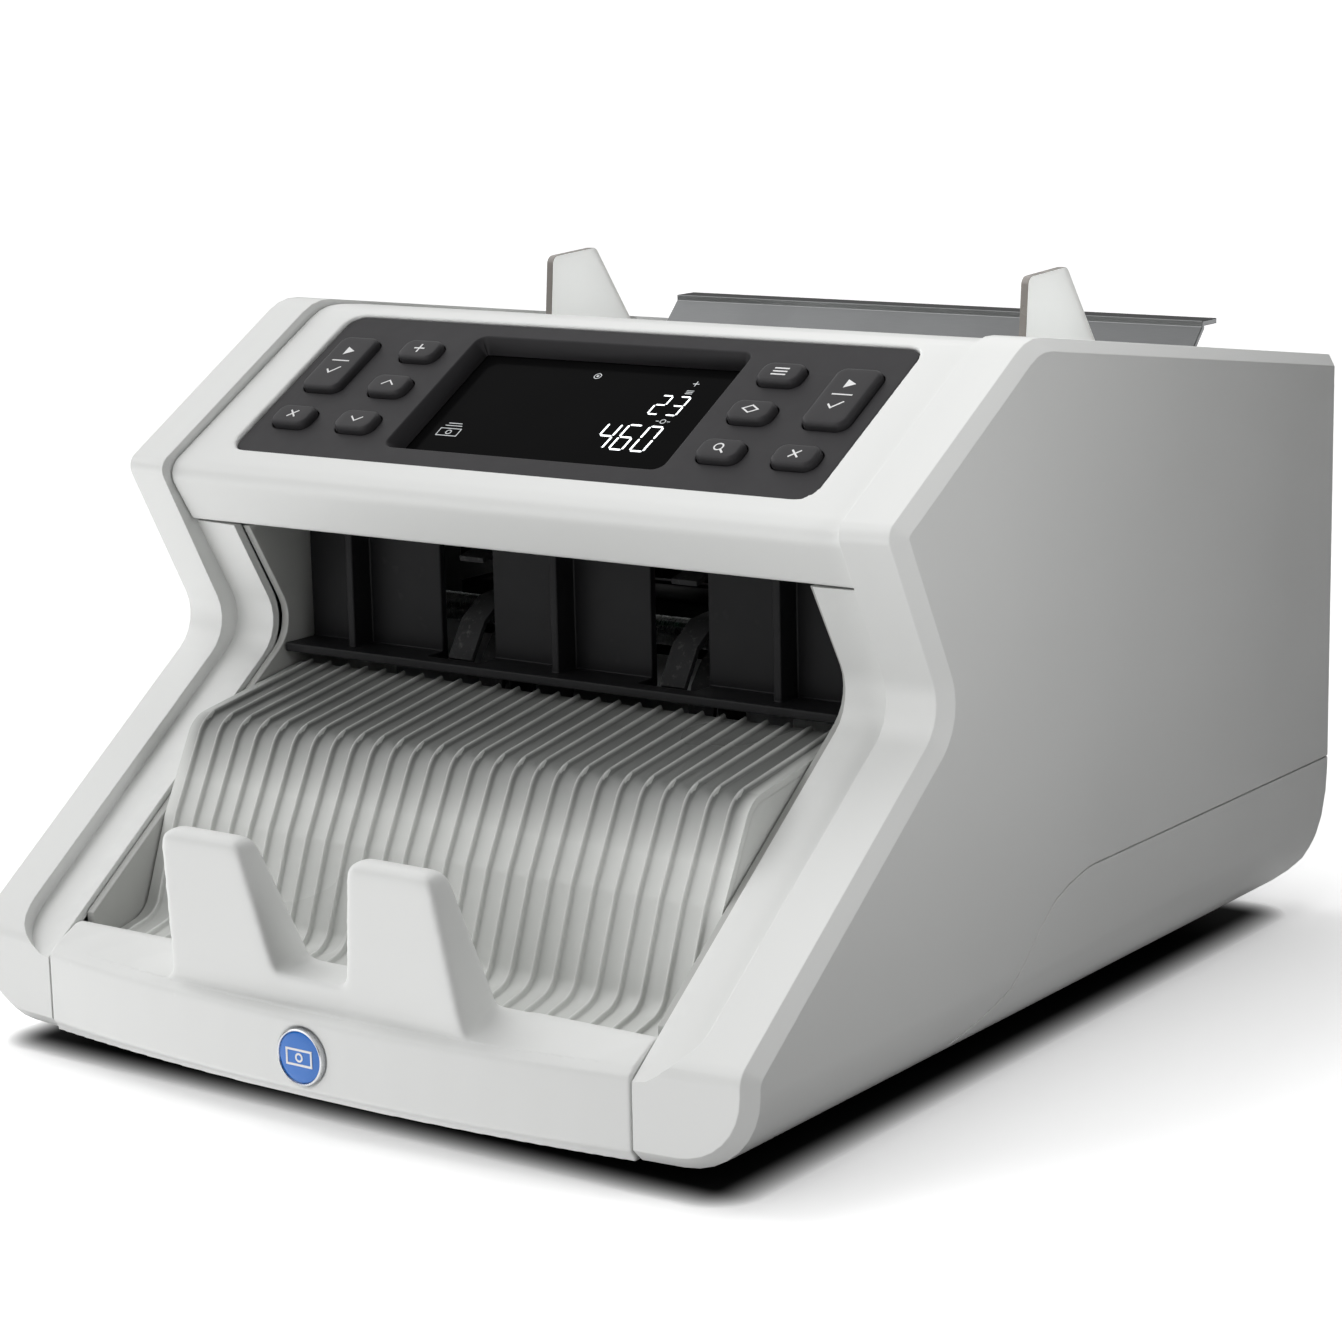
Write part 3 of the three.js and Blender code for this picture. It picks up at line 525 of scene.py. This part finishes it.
class Print:
    """Thin raised prints gathered in one mesh: fill() for outlines and stroke() for lines, on the plane z = h of mtx."""

    def __init__(self, name, h, thick, mtx):
        self.name, self.h, self.t, self.m = name, h, thick, mtx
        self.v, self.f = [], []

    def _prism(self, ring):
        k, n = len(self.v), len(ring)
        self.v += [(x, y, self.h - self.t * 0.5) for x, y in ring] + [(x, y, self.h + self.t * 0.5) for x, y in ring]
        self.f += [tuple(range(k + n - 1, k - 1, -1)), tuple(range(k + n, k + 2 * n))]
        self.f += [(k + i, k + (i + 1) % n, k + n + (i + 1) % n, k + n + i) for i in range(n)]

    def fill(self, pts):
        self._prism([tuple(p) for p in pts])

    def stroke(self, pts, w, closed=False):
        r = ribbon(pts, w, closed)
        if closed:
            k, n = len(self.v), len(r)
            for z in (-0.5, 0.5):
                for a, b in r:
                    self.v += [(a.x, a.y, self.h + self.t * z), (b.x, b.y, self.h + self.t * z)]
            for i in range(n):
                a, b = k + 2 * i, k + 2 * ((i + 1) % n)
                c, d = a + 2 * n, b + 2 * n
                self.f += [(a, b, b + 1, a + 1), (c + 1, d + 1, d, c), (a, c, d, b), (a + 1, b + 1, d + 1, c + 1)]
        else:
            self._prism([tuple(a) for a, _ in r] + [tuple(b) for _, b in reversed(r)])

    def make(self, m, body):
        o = obj(self.name, mesh_of(self.name, self.v, self.f, self.m))
        setmat(o, m)
        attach(o, body)
        return o


# ------------------------------------------------------------------ the body
def ramp01(v, lo, hi):
    t = np.clip((v - lo) / (hi - lo), 0, 1)
    return t * t * (3 - 2 * t)


def lip_weight(co, k):
    """Two passes everywhere, more over the two upright stops, whose edges and feet are full radii."""
    x, z = np.abs(co[:, 0]) * 1000, co[:, 2] * 1000
    stops = ramp01(z, 29.8, 32.0) * (1 - ramp01(x, 54, 58))
    return np.where(k < 2, 1.0, stops)


def lip_shape(co):
    """The shallow line moulded along the crest of the lip."""
    x, y, z = co[:, 0] * 1000, co[:, 1] * 1000 + YS, co[:, 2] * 1000
    front = -7.6 * (1 - (x / 93.65) ** 2)
    near = (y < front + 2.6) & (np.abs(x) < 93.2)
    co[:, 1] += np.where(near, 0.00034 * np.exp(-(((z - 29.5) / 0.75) ** 2)), 0)
    return co


for n, w in (("right_side_panel", 0.55), ("left_side_panel", 0.55), ("base_housing", 0.85)):
    skin(n, "white", w, 3)
moulded("head_cover", "white", 0.55, 1.0, 3, 0.3)
moulded("front_lip", "white", 0.5, lip_weight, 26, 0.4, lip_shape)
for n in ("rear_panel", "rear_hatch"):
    skin(n, "rear_white", 0.4)
skin("hopper_tray", "hopper", 0.4)
for n in ("right_stacker_wall", "left_stacker_wall"):
    skin(n, "pocket", 0.4)
skin("stacker_back_guide", "black", 0.5)
skin("display_window", "glass", 0.15)
skin("display_module", "pcb", 0.2)
skin("keypad_board", "pcb", 0.2)
for n in ("front_left_foot", "front_right_foot", "rear_left_foot", "rear_right_foot"):
    skin(n, "foot", 0.5, 3)
for n in ("left_stacker_wheel", "right_stacker_wheel", "pickup_roller", "feed_roller", "drive_belt", "stacker_belt", "pickup_belt"):
    skin(n, "rubber", 0.25)
skin("retard_roller", "retard", 0.3)
for n in ("right_frame_plate", "left_frame_plate"):
    skin(n, "steel", 0.2)
o = skin("hopper_support_plate", "steel", 0.18)
o.data.materials.append(M["steel_dark"])
for f in o.data.polygons:  # the folded flange is blackened
    if f.center.z > 0.1700 and (f.center.y + YS / 1000) > 0.2846:
        f.material_index = 1
for n in ("stacker_shaft", "motor_pulley", "hatch_hinge_pin"):
    skin(n, "turned", 0.25)
skin("drive_motor", "motor", 0.5)
for n in ("feed_pulley", "stacker_pulley", "feed_transfer_pulley", "pickup_pulley"):
    skin(n, "pulley", 0.2)
for n in ("right_note_guide", "left_note_guide"):
    o = skin(n, "guide", 0.35, 3)
    o.data.materials.append(M["guide_edge_painted_shade"])
    for f in o.data.polygons:  # the polished faces are clear; the sawn rim gets a darker colour, a painted shade for how the sheet's edge darkens by refraction
        if abs(f.normal.x) < 0.9 and f.center.z > 0.1475:
            f.material_index = 1
skin("guide_pinion", "gear", 0.1)
skin("main_board", "pcb", 0.3)
skin("power_supply", "pcb_blue", 0.3)
for n in ("upper_sensor_bar", "lower_sensor_bar", "power_inlet", "power_rocker", "data_port"):
    skin(n, "black", 0.35)


# ------------------------------------------------------------------ control bezel
class Outline:
    """A rounded rectangle that can be offset: at(inset, height) gives its points."""

    def __init__(self, x0, x1, y0, y1, r, n=8):
        self.v = (x0, x1, y0, y1, r, n)

    def at(self, ins, h):
        x0, x1, y0, y1, r, n = self.v
        return [(a, b, h) for a, b in rrect(x0 + ins, x1 - ins, y0 + ins, y1 - ins, max(0.05, r - ins), n)]


def plate(name, faces, walls, mtx=PM):
    """Faces filled between closed loops, and walls strung through rings: one closed mesh in mm."""
    bm = bmesh.new()
    cache = {}

    def vert(p):
        key = (round(p[0], 4), round(p[1], 4), round(p[2], 4))
        if key not in cache:
            cache[key] = bm.verts.new(p)
        return cache[key]

    for rings in walls:
        rows = [[vert(p) for p in r] for r in rings]
        for r0, r1 in zip(rows, rows[1:]):
            k = len(r0)
            for j in range(k):
                q = (r0[j], r0[(j + 1) % k], r1[(j + 1) % k], r1[j])
                if len(set(q)) == 4:
                    bm.faces.new(q)
    for loops in faces:
        edges = []
        for l in loops:
            vs_ = [vert(p) for p in l]
            for j in range(len(vs_)):
                a_, b_ = vs_[j], vs_[(j + 1) % len(vs_)]
                edges.append(bm.edges.get((a_, b_)) or bm.edges.new((a_, b_)))
        bmesh.ops.triangle_fill(bm, use_beauty=True, use_dissolve=False, edges=edges, normal=(0, 0, 1))
    bmesh.ops.recalc_face_normals(bm, faces=bm.faces)
    me = bpy.data.meshes.new(name)
    bm.transform(mtx)
    bm.to_mesh(me)
    bm.free()
    return me


def edge_round(o, r, low, out=1, n=4):
    """Rings of an edge rounded by r from the face at h = 0 down to h = low; out = 1 for an outer edge, -1 for a hole."""
    rings = []
    for i in range(n + 1):
        a = math.pi / 2 * i / n
        rings.append(o.at(out * r * (1 - math.sin(a)), -r * (1 - math.cos(a))))
    rings.append(o.at(0, low))
    return rings


SMALL, TALL = (12.9, 8.2), (13.4, 23.2)
KEYS = {
    "start_key_left": (-81.6, 38.6, TALL), "clear_key_left": (-81.2, 15, SMALL), "add_key": (-58.9, 46.6, SMALL),
    "up_key": (-58.9, 30.9, SMALL), "down_key": (-58.9, 15, SMALL), "batch_key": (58.9, 46.6, SMALL),
    "mode_key": (58.9, 30.9, SMALL), "detect_key": (58.9, 15, SMALL), "start_key_right": (81.6, 38.6, TALL),
    "clear_key_right": (81.2, 15, SMALL),
}
rim_o = Outline(-93.4, 93.4, 0, 61.5, 5)
holes = [Outline(x - w / 2 - 0.35, x + w / 2 + 0.35, t - h / 2 - 0.35, t + h / 2 + 0.35, 3.35) for x, t, (w, h) in KEYS.values()]
disp = Outline(-45, 45, 7, 56, 3.2)
block = Outline(-47.2, 47.2, 5.2, 57.8, 2)
walls = [edge_round(rim_o, 0.45, -3.0)] + [edge_round(q, 0.3, -3.0, -1) for q in holes]
drop = [disp.at(-0.45, 0), disp.at(-0.24, -0.06), disp.at(-0.05, -0.2), disp.at(0.09, -0.42), disp.at(2.5, -4.4)]
walls.append(drop)
walls.append([block.at(0, -3.0), block.at(0, -4.4)])
tops = [[walls[0][0]] + [r[0] for r in walls[1:11]] + [drop[0]], [walls[0][-1]] + [r[-1] for r in walls[1:11]] + [block.at(0, -3.0)], [block.at(0, -4.4), drop[-1]]]
o = obj("control_bezel_skin", plate("control_bezel_skin", tops, walls))
soft_edges(o, 0, 1)
finish_skin(o, "control_bezel", "panel")

# ------------------------------------------------------------------ ribbed ramp
PATH = [(p[0], p[1]) for p in round_poly([(98.4, 88.2, 0), (55, 80.9, 9), (42.5, 57, 10), (33, 32, 8), (14.2, 27.6, 0)], 9)]
RIB = [(-0.95, 0.0), (-0.68, 0.1), (-0.54, 0.42), (-0.47, 0.86), (-0.34, 1.16), (-0.14, 1.3), (0.14, 1.3), (0.34, 1.16), (0.47, 0.86), (0.54, 0.42), (0.68, 0.1), (0.95, 0.0)]
prof = [(-90.5, 0.0)]
for k in range(-13, 14):
    prof += [(k * 6.6 + a, b) for a, b in RIB]
prof.append((90.5, 0.0))
nrm = []
for i, (y, z) in enumerate(PATH):
    q0, q1 = PATH[max(0, i - 1)], PATH[min(len(PATH) - 1, i + 1)]
    d = Vector((q1[0] - q0[0], q1[1] - q0[1])).normalized()
    nrm.append(Vector((d.y, -d.x)))
if nrm[0].y < 0:
    nrm = [-q for q in nrm]
vs, fs, K, N = [], [], len(prof), len(PATH)
for (y, z), q in zip(PATH, nrm):
    vs += [(x, y + q.x * h, z + q.y * h) for x, h in prof]
base = len(vs)
for (y, z), q in zip(PATH, nrm):
    vs += [(-90.5, y - q.x * 2, z - q.y * 2), (90.5, y - q.x * 2, z - q.y * 2)]
for i in range(N - 1):
    fs += [(i * K + j, i * K + j + 1, (i + 1) * K + j + 1, (i + 1) * K + j) for j in range(K - 1)]
    b0, b1 = base + 2 * i, base + 2 * i + 2
    fs += [(b0, b1, b1 + 1, b0 + 1), (i * K, (i + 1) * K, b1, b0), (i * K + K - 1, b0 + 1, b1 + 1, (i + 1) * K + K - 1)]
fs.append(tuple(range(K)) + (base + 1, base))
fs.append(tuple((N - 1) * K + j for j in range(K)) + (base + 2 * N - 1, base + 2 * N - 2))
for x0, x1 in ((-90.5, -89.2), (89.2, 90.5)):  # side skirts that close the ramp against the walls
    k = len(vs)
    for (y, z), q in zip(PATH, nrm):
        yb, zb = y, max(27.7, z - 24)
        vs += [(x0, y - q.x * 1.9, z - q.y * 1.9), (x1, y - q.x * 1.9, z - q.y * 1.9), (x1, yb, min(zb, z - 1.95)), (x0, yb, min(zb, z - 1.95))]
    for i in range(N - 1):
        c = k + 4 * i
        fs += [(c + j, c + (j + 1) % 4, c + 4 + (j + 1) % 4, c + 4 + j) for j in range(4)]
    fs += [(k, k + 3, k + 2, k + 1), tuple(k + 4 * (N - 1) + j for j in range(4))]
o = smooth(obj("stacker_ramp_skin", mesh_of("stacker_ramp_skin", vs, fs)), 50)
finish_skin(o, "stacker_ramp", "ramp")

# small screw in the rear deck
o = smooth(obj("deck_screw", loft("deck_screw", [[(96.5 + r * math.cos(a * math.pi / 12), 287.4 + r * math.sin(a * math.pi / 12), z) for a in range(24)] for r, z in ((1.5, 163.0), (1.5, 163.75), (1.3, 163.9), (0.5, 163.95), (0.45, 163.6))])), 40)
setmat(o, "steel_dark")
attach(o, "housing")

# ------------------------------------------------------------------ keys
def key_cap(name, x, t, w, h):
    rings = []

    def ring(ins, z, r):
        p = rrect(x - w / 2 + ins, x + w / 2 - ins, t - h / 2 + ins, t + h / 2 - ins, max(0.4, r - ins), 8)
        rings.append([(a, b, z) for a, b in p])

    f = -1.2
    ring(f, -4.6, 3.2); ring(f, -3.4, 3.2); ring(0, -3.4, 3.0)
    for i in range(9):  # rounded shoulder
        a = math.pi / 2 * i / 8
        ring(1.15 * (1 - math.cos(a)), KEY_H - 1.15 + 1.15 * math.sin(a) - 0.04, 3.0)
    ring(2.4, KEY_H - 0.01, 3.0)
    ring(min(w, h) / 2 - 0.6, KEY_H, 3.0)
    o = smooth(obj(name + "_cap", loft(name + "_cap", rings, PM)), 40)
    setmat(o, "key")
    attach(o, BODY[name])
    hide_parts(name)


def plus(p, x, y, s, w):
    h = w / 2
    p.fill([(x - h, y - s), (x + h, y - s), (x + h, y - h), (x + s, y - h), (x + s, y + h), (x + h, y + h),
            (x + h, y + s), (x - h, y + s), (x - h, y + h), (x - s, y + h), (x - s, y - h), (x - h, y - h)])


def cross(p, x, y, s, w):
    h, k = w / 2 * math.sqrt(2), s
    pts = [(0, h), (k - h / 2, k + h / 2), (k + h / 2, k - h / 2), (h, 0), (k + h / 2, -k + h / 2), (k - h / 2, -k - h / 2),
           (0, -h), (-k + h / 2, -k - h / 2), (-k - h / 2, -k + h / 2), (-h, 0), (-k - h / 2, k - h / 2), (-k + h / 2, k + h / 2)]
    p.fill([(x + a, y + b) for a, b in reversed(pts)])


def ring_pts(x, y, r, n=24, a0=0.0, a1=2 * math.pi):
    full = a1 - a0 > 6.28
    k = n if full else n + 1
    return [(x + r * math.cos(a0 + (a1 - a0) * i / n), y + r * math.sin(a0 + (a1 - a0) * i / n)) for i in range(k)]


LW = 0.42
for name, (x, t, (w, h)) in KEYS.items():
    key_cap(name, x, t, w, h)
    p = Print(name + "_legend", KEY_H + 0.012, 0.03, PM)
    if name.startswith("start"):
        p.stroke([(x - 3.0, t + 0.4), (x + 3.0, t + 0.4)], 0.45)
        p.fill([(x - 1.25, t + 3.1), (x + 1.75, t + 4.8), (x - 1.25, t + 6.5)])
        p.stroke([(x - 1.9, t - 3.6), (x - 0.5, t - 5.1), (x + 2.1, t - 2.3)], 0.5)
    elif name.startswith("clear"):
        cross(p, x, t, 1.35, 0.5)
    elif name == "add_key":
        plus(p, x, t, 1.75, 0.5)
    elif name == "up_key":
        p.stroke([(x - 2.0, t - 0.8), (x, t + 1.0), (x + 2.0, t - 0.8)], LW)
    elif name == "down_key":
        p.stroke([(x - 2.0, t + 0.8), (x, t - 1.0), (x + 2.0, t + 0.8)], LW)
    elif name == "batch_key":
        for k in (-1.25, 0, 1.25):
            p.stroke([(x - 2.2, t + k), (x + 2.2, t + k)], 0.5)
    elif name == "mode_key":
        p.stroke([(x - 2.3, t), (x, t - 1.45), (x + 2.3, t), (x, t + 1.45)], LW, True)
    elif name == "detect_key":
        p.stroke(ring_pts(x - 0.35, t + 0.3, 1.25), LW, True)
        p.stroke([(x + 0.62, t - 0.67), (x + 1.85, t - 1.9)], 0.55)
    p.make("legend", BODY[name])

# ------------------------------------------------------------------ display contents
SEG = {"0": "abcdef", "2": "abged", "3": "abgcd", "4": "fgbc", "6": "afgedc"}


def digit(p, ch, x, y, w, h, s, lean=0.05):
    """Seven bars: a top, b upper right, c lower right, d bottom, e lower left, f upper left, g middle."""
    g, k = s * 0.34, s / 2

    def bar(ax, ay, bx, by):
        horiz = abs(bx - ax) > abs(by - ay)
        pts = []
        if horiz:
            pts = [(ax + g, ay), (ax + g + k, ay - k), (bx - g - k, ay - k), (bx - g, ay), (bx - g - k, ay + k), (ax + g + k, ay + k)]
        else:
            pts = [(ax, ay + g), (ax + k, ay + g + k), (ax + k, by - g - k), (ax, by - g), (ax - k, by - g - k), (ax - k, ay + g + k)]
        p.fill([(x + a + lean * b, y + b) for a, b in pts])

    m = h / 2
    B = {"a": (0, h, w, h), "d": (0, 0, w, 0), "g": (0, m, w, m), "f": (0, m, 0, h), "b": (w, m, w, h), "e": (0, 0, 0, m), "c": (w, 0, w, m)}
    for c in SEG[ch]:
        bar(*B[c])


p = Print("display_digits", GLASS_H + 0.01, 0.03, PM)
for ch, x in (("4", 13.4), ("6", 19.7), ("0", 26.3)):
    digit(p, ch, x, 18.9, 4.1, 10.2, 0.62)
for ch, x in (("2", 22.6), ("3", 28.2)):
    digit(p, ch, x, 34.1, 3.2, 7.8, 0.52)
p.make("digit", "housing")
p = Print("display_icons", GLASS_H + 0.01, 0.03, PM)
# a ring with a dot at the top of the display
p.stroke(ring_pts(-2.0, 48.0, 1.05, 20), 0.24, True)
p.fill([(-2.0 + 0.4 * math.cos(i * math.tau / 12), 48.0 + 0.4 * math.sin(i * math.tau / 12)) for i in range(12)])
plus(p, 30.0, 47.5, 1.0, 0.28)
for k in (-0.62, 0, 0.62):
    p.stroke([(28.9, 43.9 + k), (31.1, 43.9 + k)], 0.24)
p.stroke(ring_pts(29.2, 31.4, 0.78, 16), 0.24, True)
p.stroke([(27.0, 31.4), (27.9, 31.4)], 0.24)
p.stroke([(30.5, 31.4), (31.4, 31.4)], 0.24)
# note symbol at the left
p.stroke([(-37.2, 18.9), (-30.4, 18.9), (-30.4, 21.9), (-37.2, 21.9)], 0.26, True)
p.stroke(ring_pts(-33.8, 20.4, 0.8, 16), 0.26, True)
p.stroke([(-36.6, 23.1), (-31.0, 23.1)], 0.26)
p.stroke([(-36.0, 24.1), (-31.6, 24.1)], 0.26)
p.make("digit_dim", "housing")

# ------------------------------------------------------------------ badge
BADGE_Y = -7.6


def disc_rings(prof, n=64):
    """Rings about the Y axis through the badge: prof is [(radius, y), ...] from the front."""
    return [[(r * math.cos(2 * math.pi * i / n), y, 18.9 + r * math.sin(2 * math.pi * i / n)) for i in range(n)] for r, y in prof]


o = smooth(obj("badge_disc", loft("badge_disc", disc_rings([(0.05, BADGE_Y - 0.75), (3.5, BADGE_Y - 0.72), (6.0, BADGE_Y - 0.6), (6.45, BADGE_Y - 0.45), (6.5, BADGE_Y - 0.2), (6.5, BADGE_Y + 1.0)]))), 50)
setmat(o, "badge"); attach(o, "housing"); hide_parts("front_badge")
rim = []
for i in range(48):
    a = 2 * math.pi * i / 48
    c, s_ = math.cos(a), math.sin(a)
    rim.append([(rr * c, yy, 18.9 + rr * s_) for rr, yy in ((6.55, BADGE_Y + 0.9), (6.55, BADGE_Y - 0.62), (6.7, BADGE_Y - 0.85), (6.95, BADGE_Y - 0.9), (7.15, BADGE_Y - 0.75), (7.2, BADGE_Y - 0.4), (7.2, BADGE_Y + 0.9))])
rim.append(rim[0])
vs = [p_ for r in rim[:-1] for p_ in r]
fs = [(i * 7 + j, i * 7 + (j + 1) % 7, ((i + 1) % 48) * 7 + (j + 1) % 7, ((i + 1) % 48) * 7 + j) for i in range(48) for j in range(7)]
o = smooth(obj("badge_ring", mesh_of("badge_ring", vs, fs)), 40)
setmat(o, "silver"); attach(o, "housing")
BM = Matrix.Translation(Vector((0, (BADGE_Y - 0.78 - YS) / 1000, 0.0189))) @ Matrix.Rotation(rad(90), 4, "X") @ Matrix.Scale(0.001, 4)
p = Print("badge_mark", 0.0, 0.12, BM)
p.stroke([(-3.9, -1.9), (3.9, -1.9), (3.9, 1.9), (-3.9, 1.9)], 0.55, True)
p.stroke(ring_pts(0, 0, 0.95, 28), 0.5, True)
p.make("badge_white", "housing")

# ------------------------------------------------------------------ camera
R = ((0.81283552, 0.58209453, -0.02154939), (-0.10342522, 0.18063235, 0.97809773), (-0.57323786, 0.79280383, -0.20702765))
cam = bpy.data.objects.new("camera", bpy.data.cameras.new("camera"))
COLL.objects.link(cam)
cam.data.sensor_width, cam.data.lens = 36.0, 92.180
cam.data.clip_start, cam.data.clip_end = 0.05, 100
rx, ry, rz = Vector(R[0]), Vector(R[1]), -Vector(R[2])
cam.matrix_world = Matrix(((rx.x, ry.x, rz.x, 0.54020662), (rx.y, ry.y, rz.y, -0.59835054 - YS / 1000), (rx.z, ry.z, rz.z, 0.28067919), (0, 0, 0, 1)))
SC.camera = cam

# ------------------------------------------------------------------ floor, world and lights
me = bpy.data.meshes.new("floor")
me.from_pydata([(-30, -30, 0), (30, -30, 0), (30, 30, 0), (-30, 30, 0)], [], [(0, 1, 2, 3)])
floor = obj("floor", me)
fm = Mat("floor", 0.9, spec=0.1)
fc = fm.mix(fm.noise(3, 3), (0.93, 0.93, 0.93), (0.95, 0.95, 0.95))
fm.link(fc, fm.b.inputs["Emission Color"])
fs_ = fm.n("ShaderNodeSeparateXYZ")
fm.link(fm.co, fs_.inputs[0])
ex = fm.math("MAXIMUM", fm.math("SUBTRACT", fm.math("ABSOLUTE", fm.math("SUBTRACT", fs_.outputs["X"], 0.0)), 0.1065), 0.0)
ey = fm.math("MAXIMUM", fm.math("SUBTRACT", fm.math("ABSOLUTE", fs_.outputs["Y"]), 0.1335), 0.0)
dist = fm.math("SQRT", fm.math("ADD", fm.math("MULTIPLY", ex, ex), fm.math("MULTIPLY", ey, ey)))
# painted contact shadow: the floor turns near black under the footprint and within about 14 mm of it
foot = fm.span(dist, 0.001, 0.014, 0, 1)
foot = fm.math("MULTIPLY", foot, foot)
fm.color(fm.mix(foot, (0.006, 0.006, 0.006), fc))
fm.link(fm.math("MULTIPLY", foot, fm.span(dist, 0.0, 0.11, FLOOR_GLOW * 0.82, FLOOR_GLOW)), fm.b.inputs["Emission Strength"])  # painted shadow: the table's glow fades towards the machine and stops beneath it
setmat(floor, fm.m)

W = bpy.data.worlds.new("studio")
SC.world = W
W.use_nodes = True
wt = W.node_tree
bg = wt.nodes["Background"]
tc = wt.nodes.new("ShaderNodeTexCoord")
sep = wt.nodes.new("ShaderNodeSeparateXYZ")
wt.links.new(tc.outputs["Generated"], sep.inputs[0])


def wspan(v, a, b, c, d):
    x = wt.nodes.new("ShaderNodeMapRange")
    x.interpolation_type = "SMOOTHSTEP"
    for k, q in zip(("From Min", "From Max", "To Min", "To Max"), (a, b, c, d)):
        x.inputs[k].default_value = q
    wt.links.new(v, x.inputs["Value"])
    return x.outputs["Result"]


def wmath(op, a, b):
    x = wt.nodes.new("ShaderNodeMath")
    x.operation = op
    for s_, q in ((x.inputs[0], a), (x.inputs[1], b)):
        if isinstance(q, bpy.types.NodeSocket):
            wt.links.new(q, s_)
        else:
            s_.default_value = q
    return x.outputs[0]


def wdot(x, y, z):
    d = wt.nodes.new("ShaderNodeVectorMath")
    d.operation = "DOT_PRODUCT"
    wt.links.new(tc.outputs["Generated"], d.inputs[0])
    d.inputs[1].default_value = (x, y, z)
    return d.outputs["Value"]


# one broad soft source in front, to the left and above; a dark band hugs the horizon
lobe = wspan(wdot(*LOBE_DIR), LOBE[0], LOBE[1], LOBE[2], LOBE[3])
z = sep.outputs["Z"]
band = wmath("ADD", wspan(z, BAND[0], BAND[1], 0.0, 1.0), wspan(z, -0.12, -0.02, 1.0, 0.0))
rear = wspan(wdot(-0.50, 0.80, 0.33), 0.4, 0.97, 0.0, 1.1)  # a weaker one behind
wt.links.new(wmath("MULTIPLY", wmath("ADD", lobe, rear), band), bg.inputs["Strength"])
bg.inputs["Color"].default_value = (1, 1, 1, 1)


def area(name, loc, target, size, power, color=(1, 1, 1)):
    l = bpy.data.lights.new(name, "AREA")
    l.shape, l.size, l.size_y, l.energy, l.color = "RECTANGLE", size[0], size[1], power, color
    o = bpy.data.objects.new(name, l)
    COLL.objects.link(o)
    o.location = loc
    d = Vector(target) - Vector(loc)
    o.rotation_euler = d.to_track_quat("-Z", "Y").to_euler()
    return o


def sun(name, direction, strength, angle):
    l = bpy.data.lights.new(name, "SUN")
    l.energy, l.angle = strength, rad(angle)
    o = bpy.data.objects.new(name, l)
    COLL.objects.link(o)
    o.rotation_euler = (-Vector(direction)).to_track_quat("-Z", "Y").to_euler()
    return o


key = sun("key_sun", (-0.50, 0.06, 0.86), KEY_SUN, 32)
key.visible_glossy = False  # its disc would fill the display glass
fill = area("side_fill", (0.36, -0.12, 0.20), (0.12, -0.08, 0.15), (0.14, 0.14), FILL)
fill.visible_camera = False
top = area("top_fill", (0.15, 0.03, 0.55), (0.11, 0.0, 0.18), (0.25, 0.25), TOP)
top.visible_camera = False
fill.visible_glossy = top.visible_glossy = False
floor.visible_diffuse = False
# a black card just under the floor keeps the gap beneath the housing dark
me = bpy.data.meshes.new("gap_card")
me.from_pydata([(-0.121, -0.152, -0.0004), (0.121, -0.152, -0.0004), (0.121, 0.153, -0.0004), (-0.121, 0.153, -0.0004)], [], [(0, 1, 2, 3)])
card = obj("gap_card", me)
cm = Mat("gap_card", 0.9, spec=0.0)
cm.color(cm.mix(cm.noise(5, 2), (0.008, 0.008, 0.008), (0.012, 0.012, 0.012)))
setmat(card, cm.m)

SC.view_settings.view_transform = "Standard"
SC.view_settings.look = "None"
SC.view_settings.exposure = 0.0
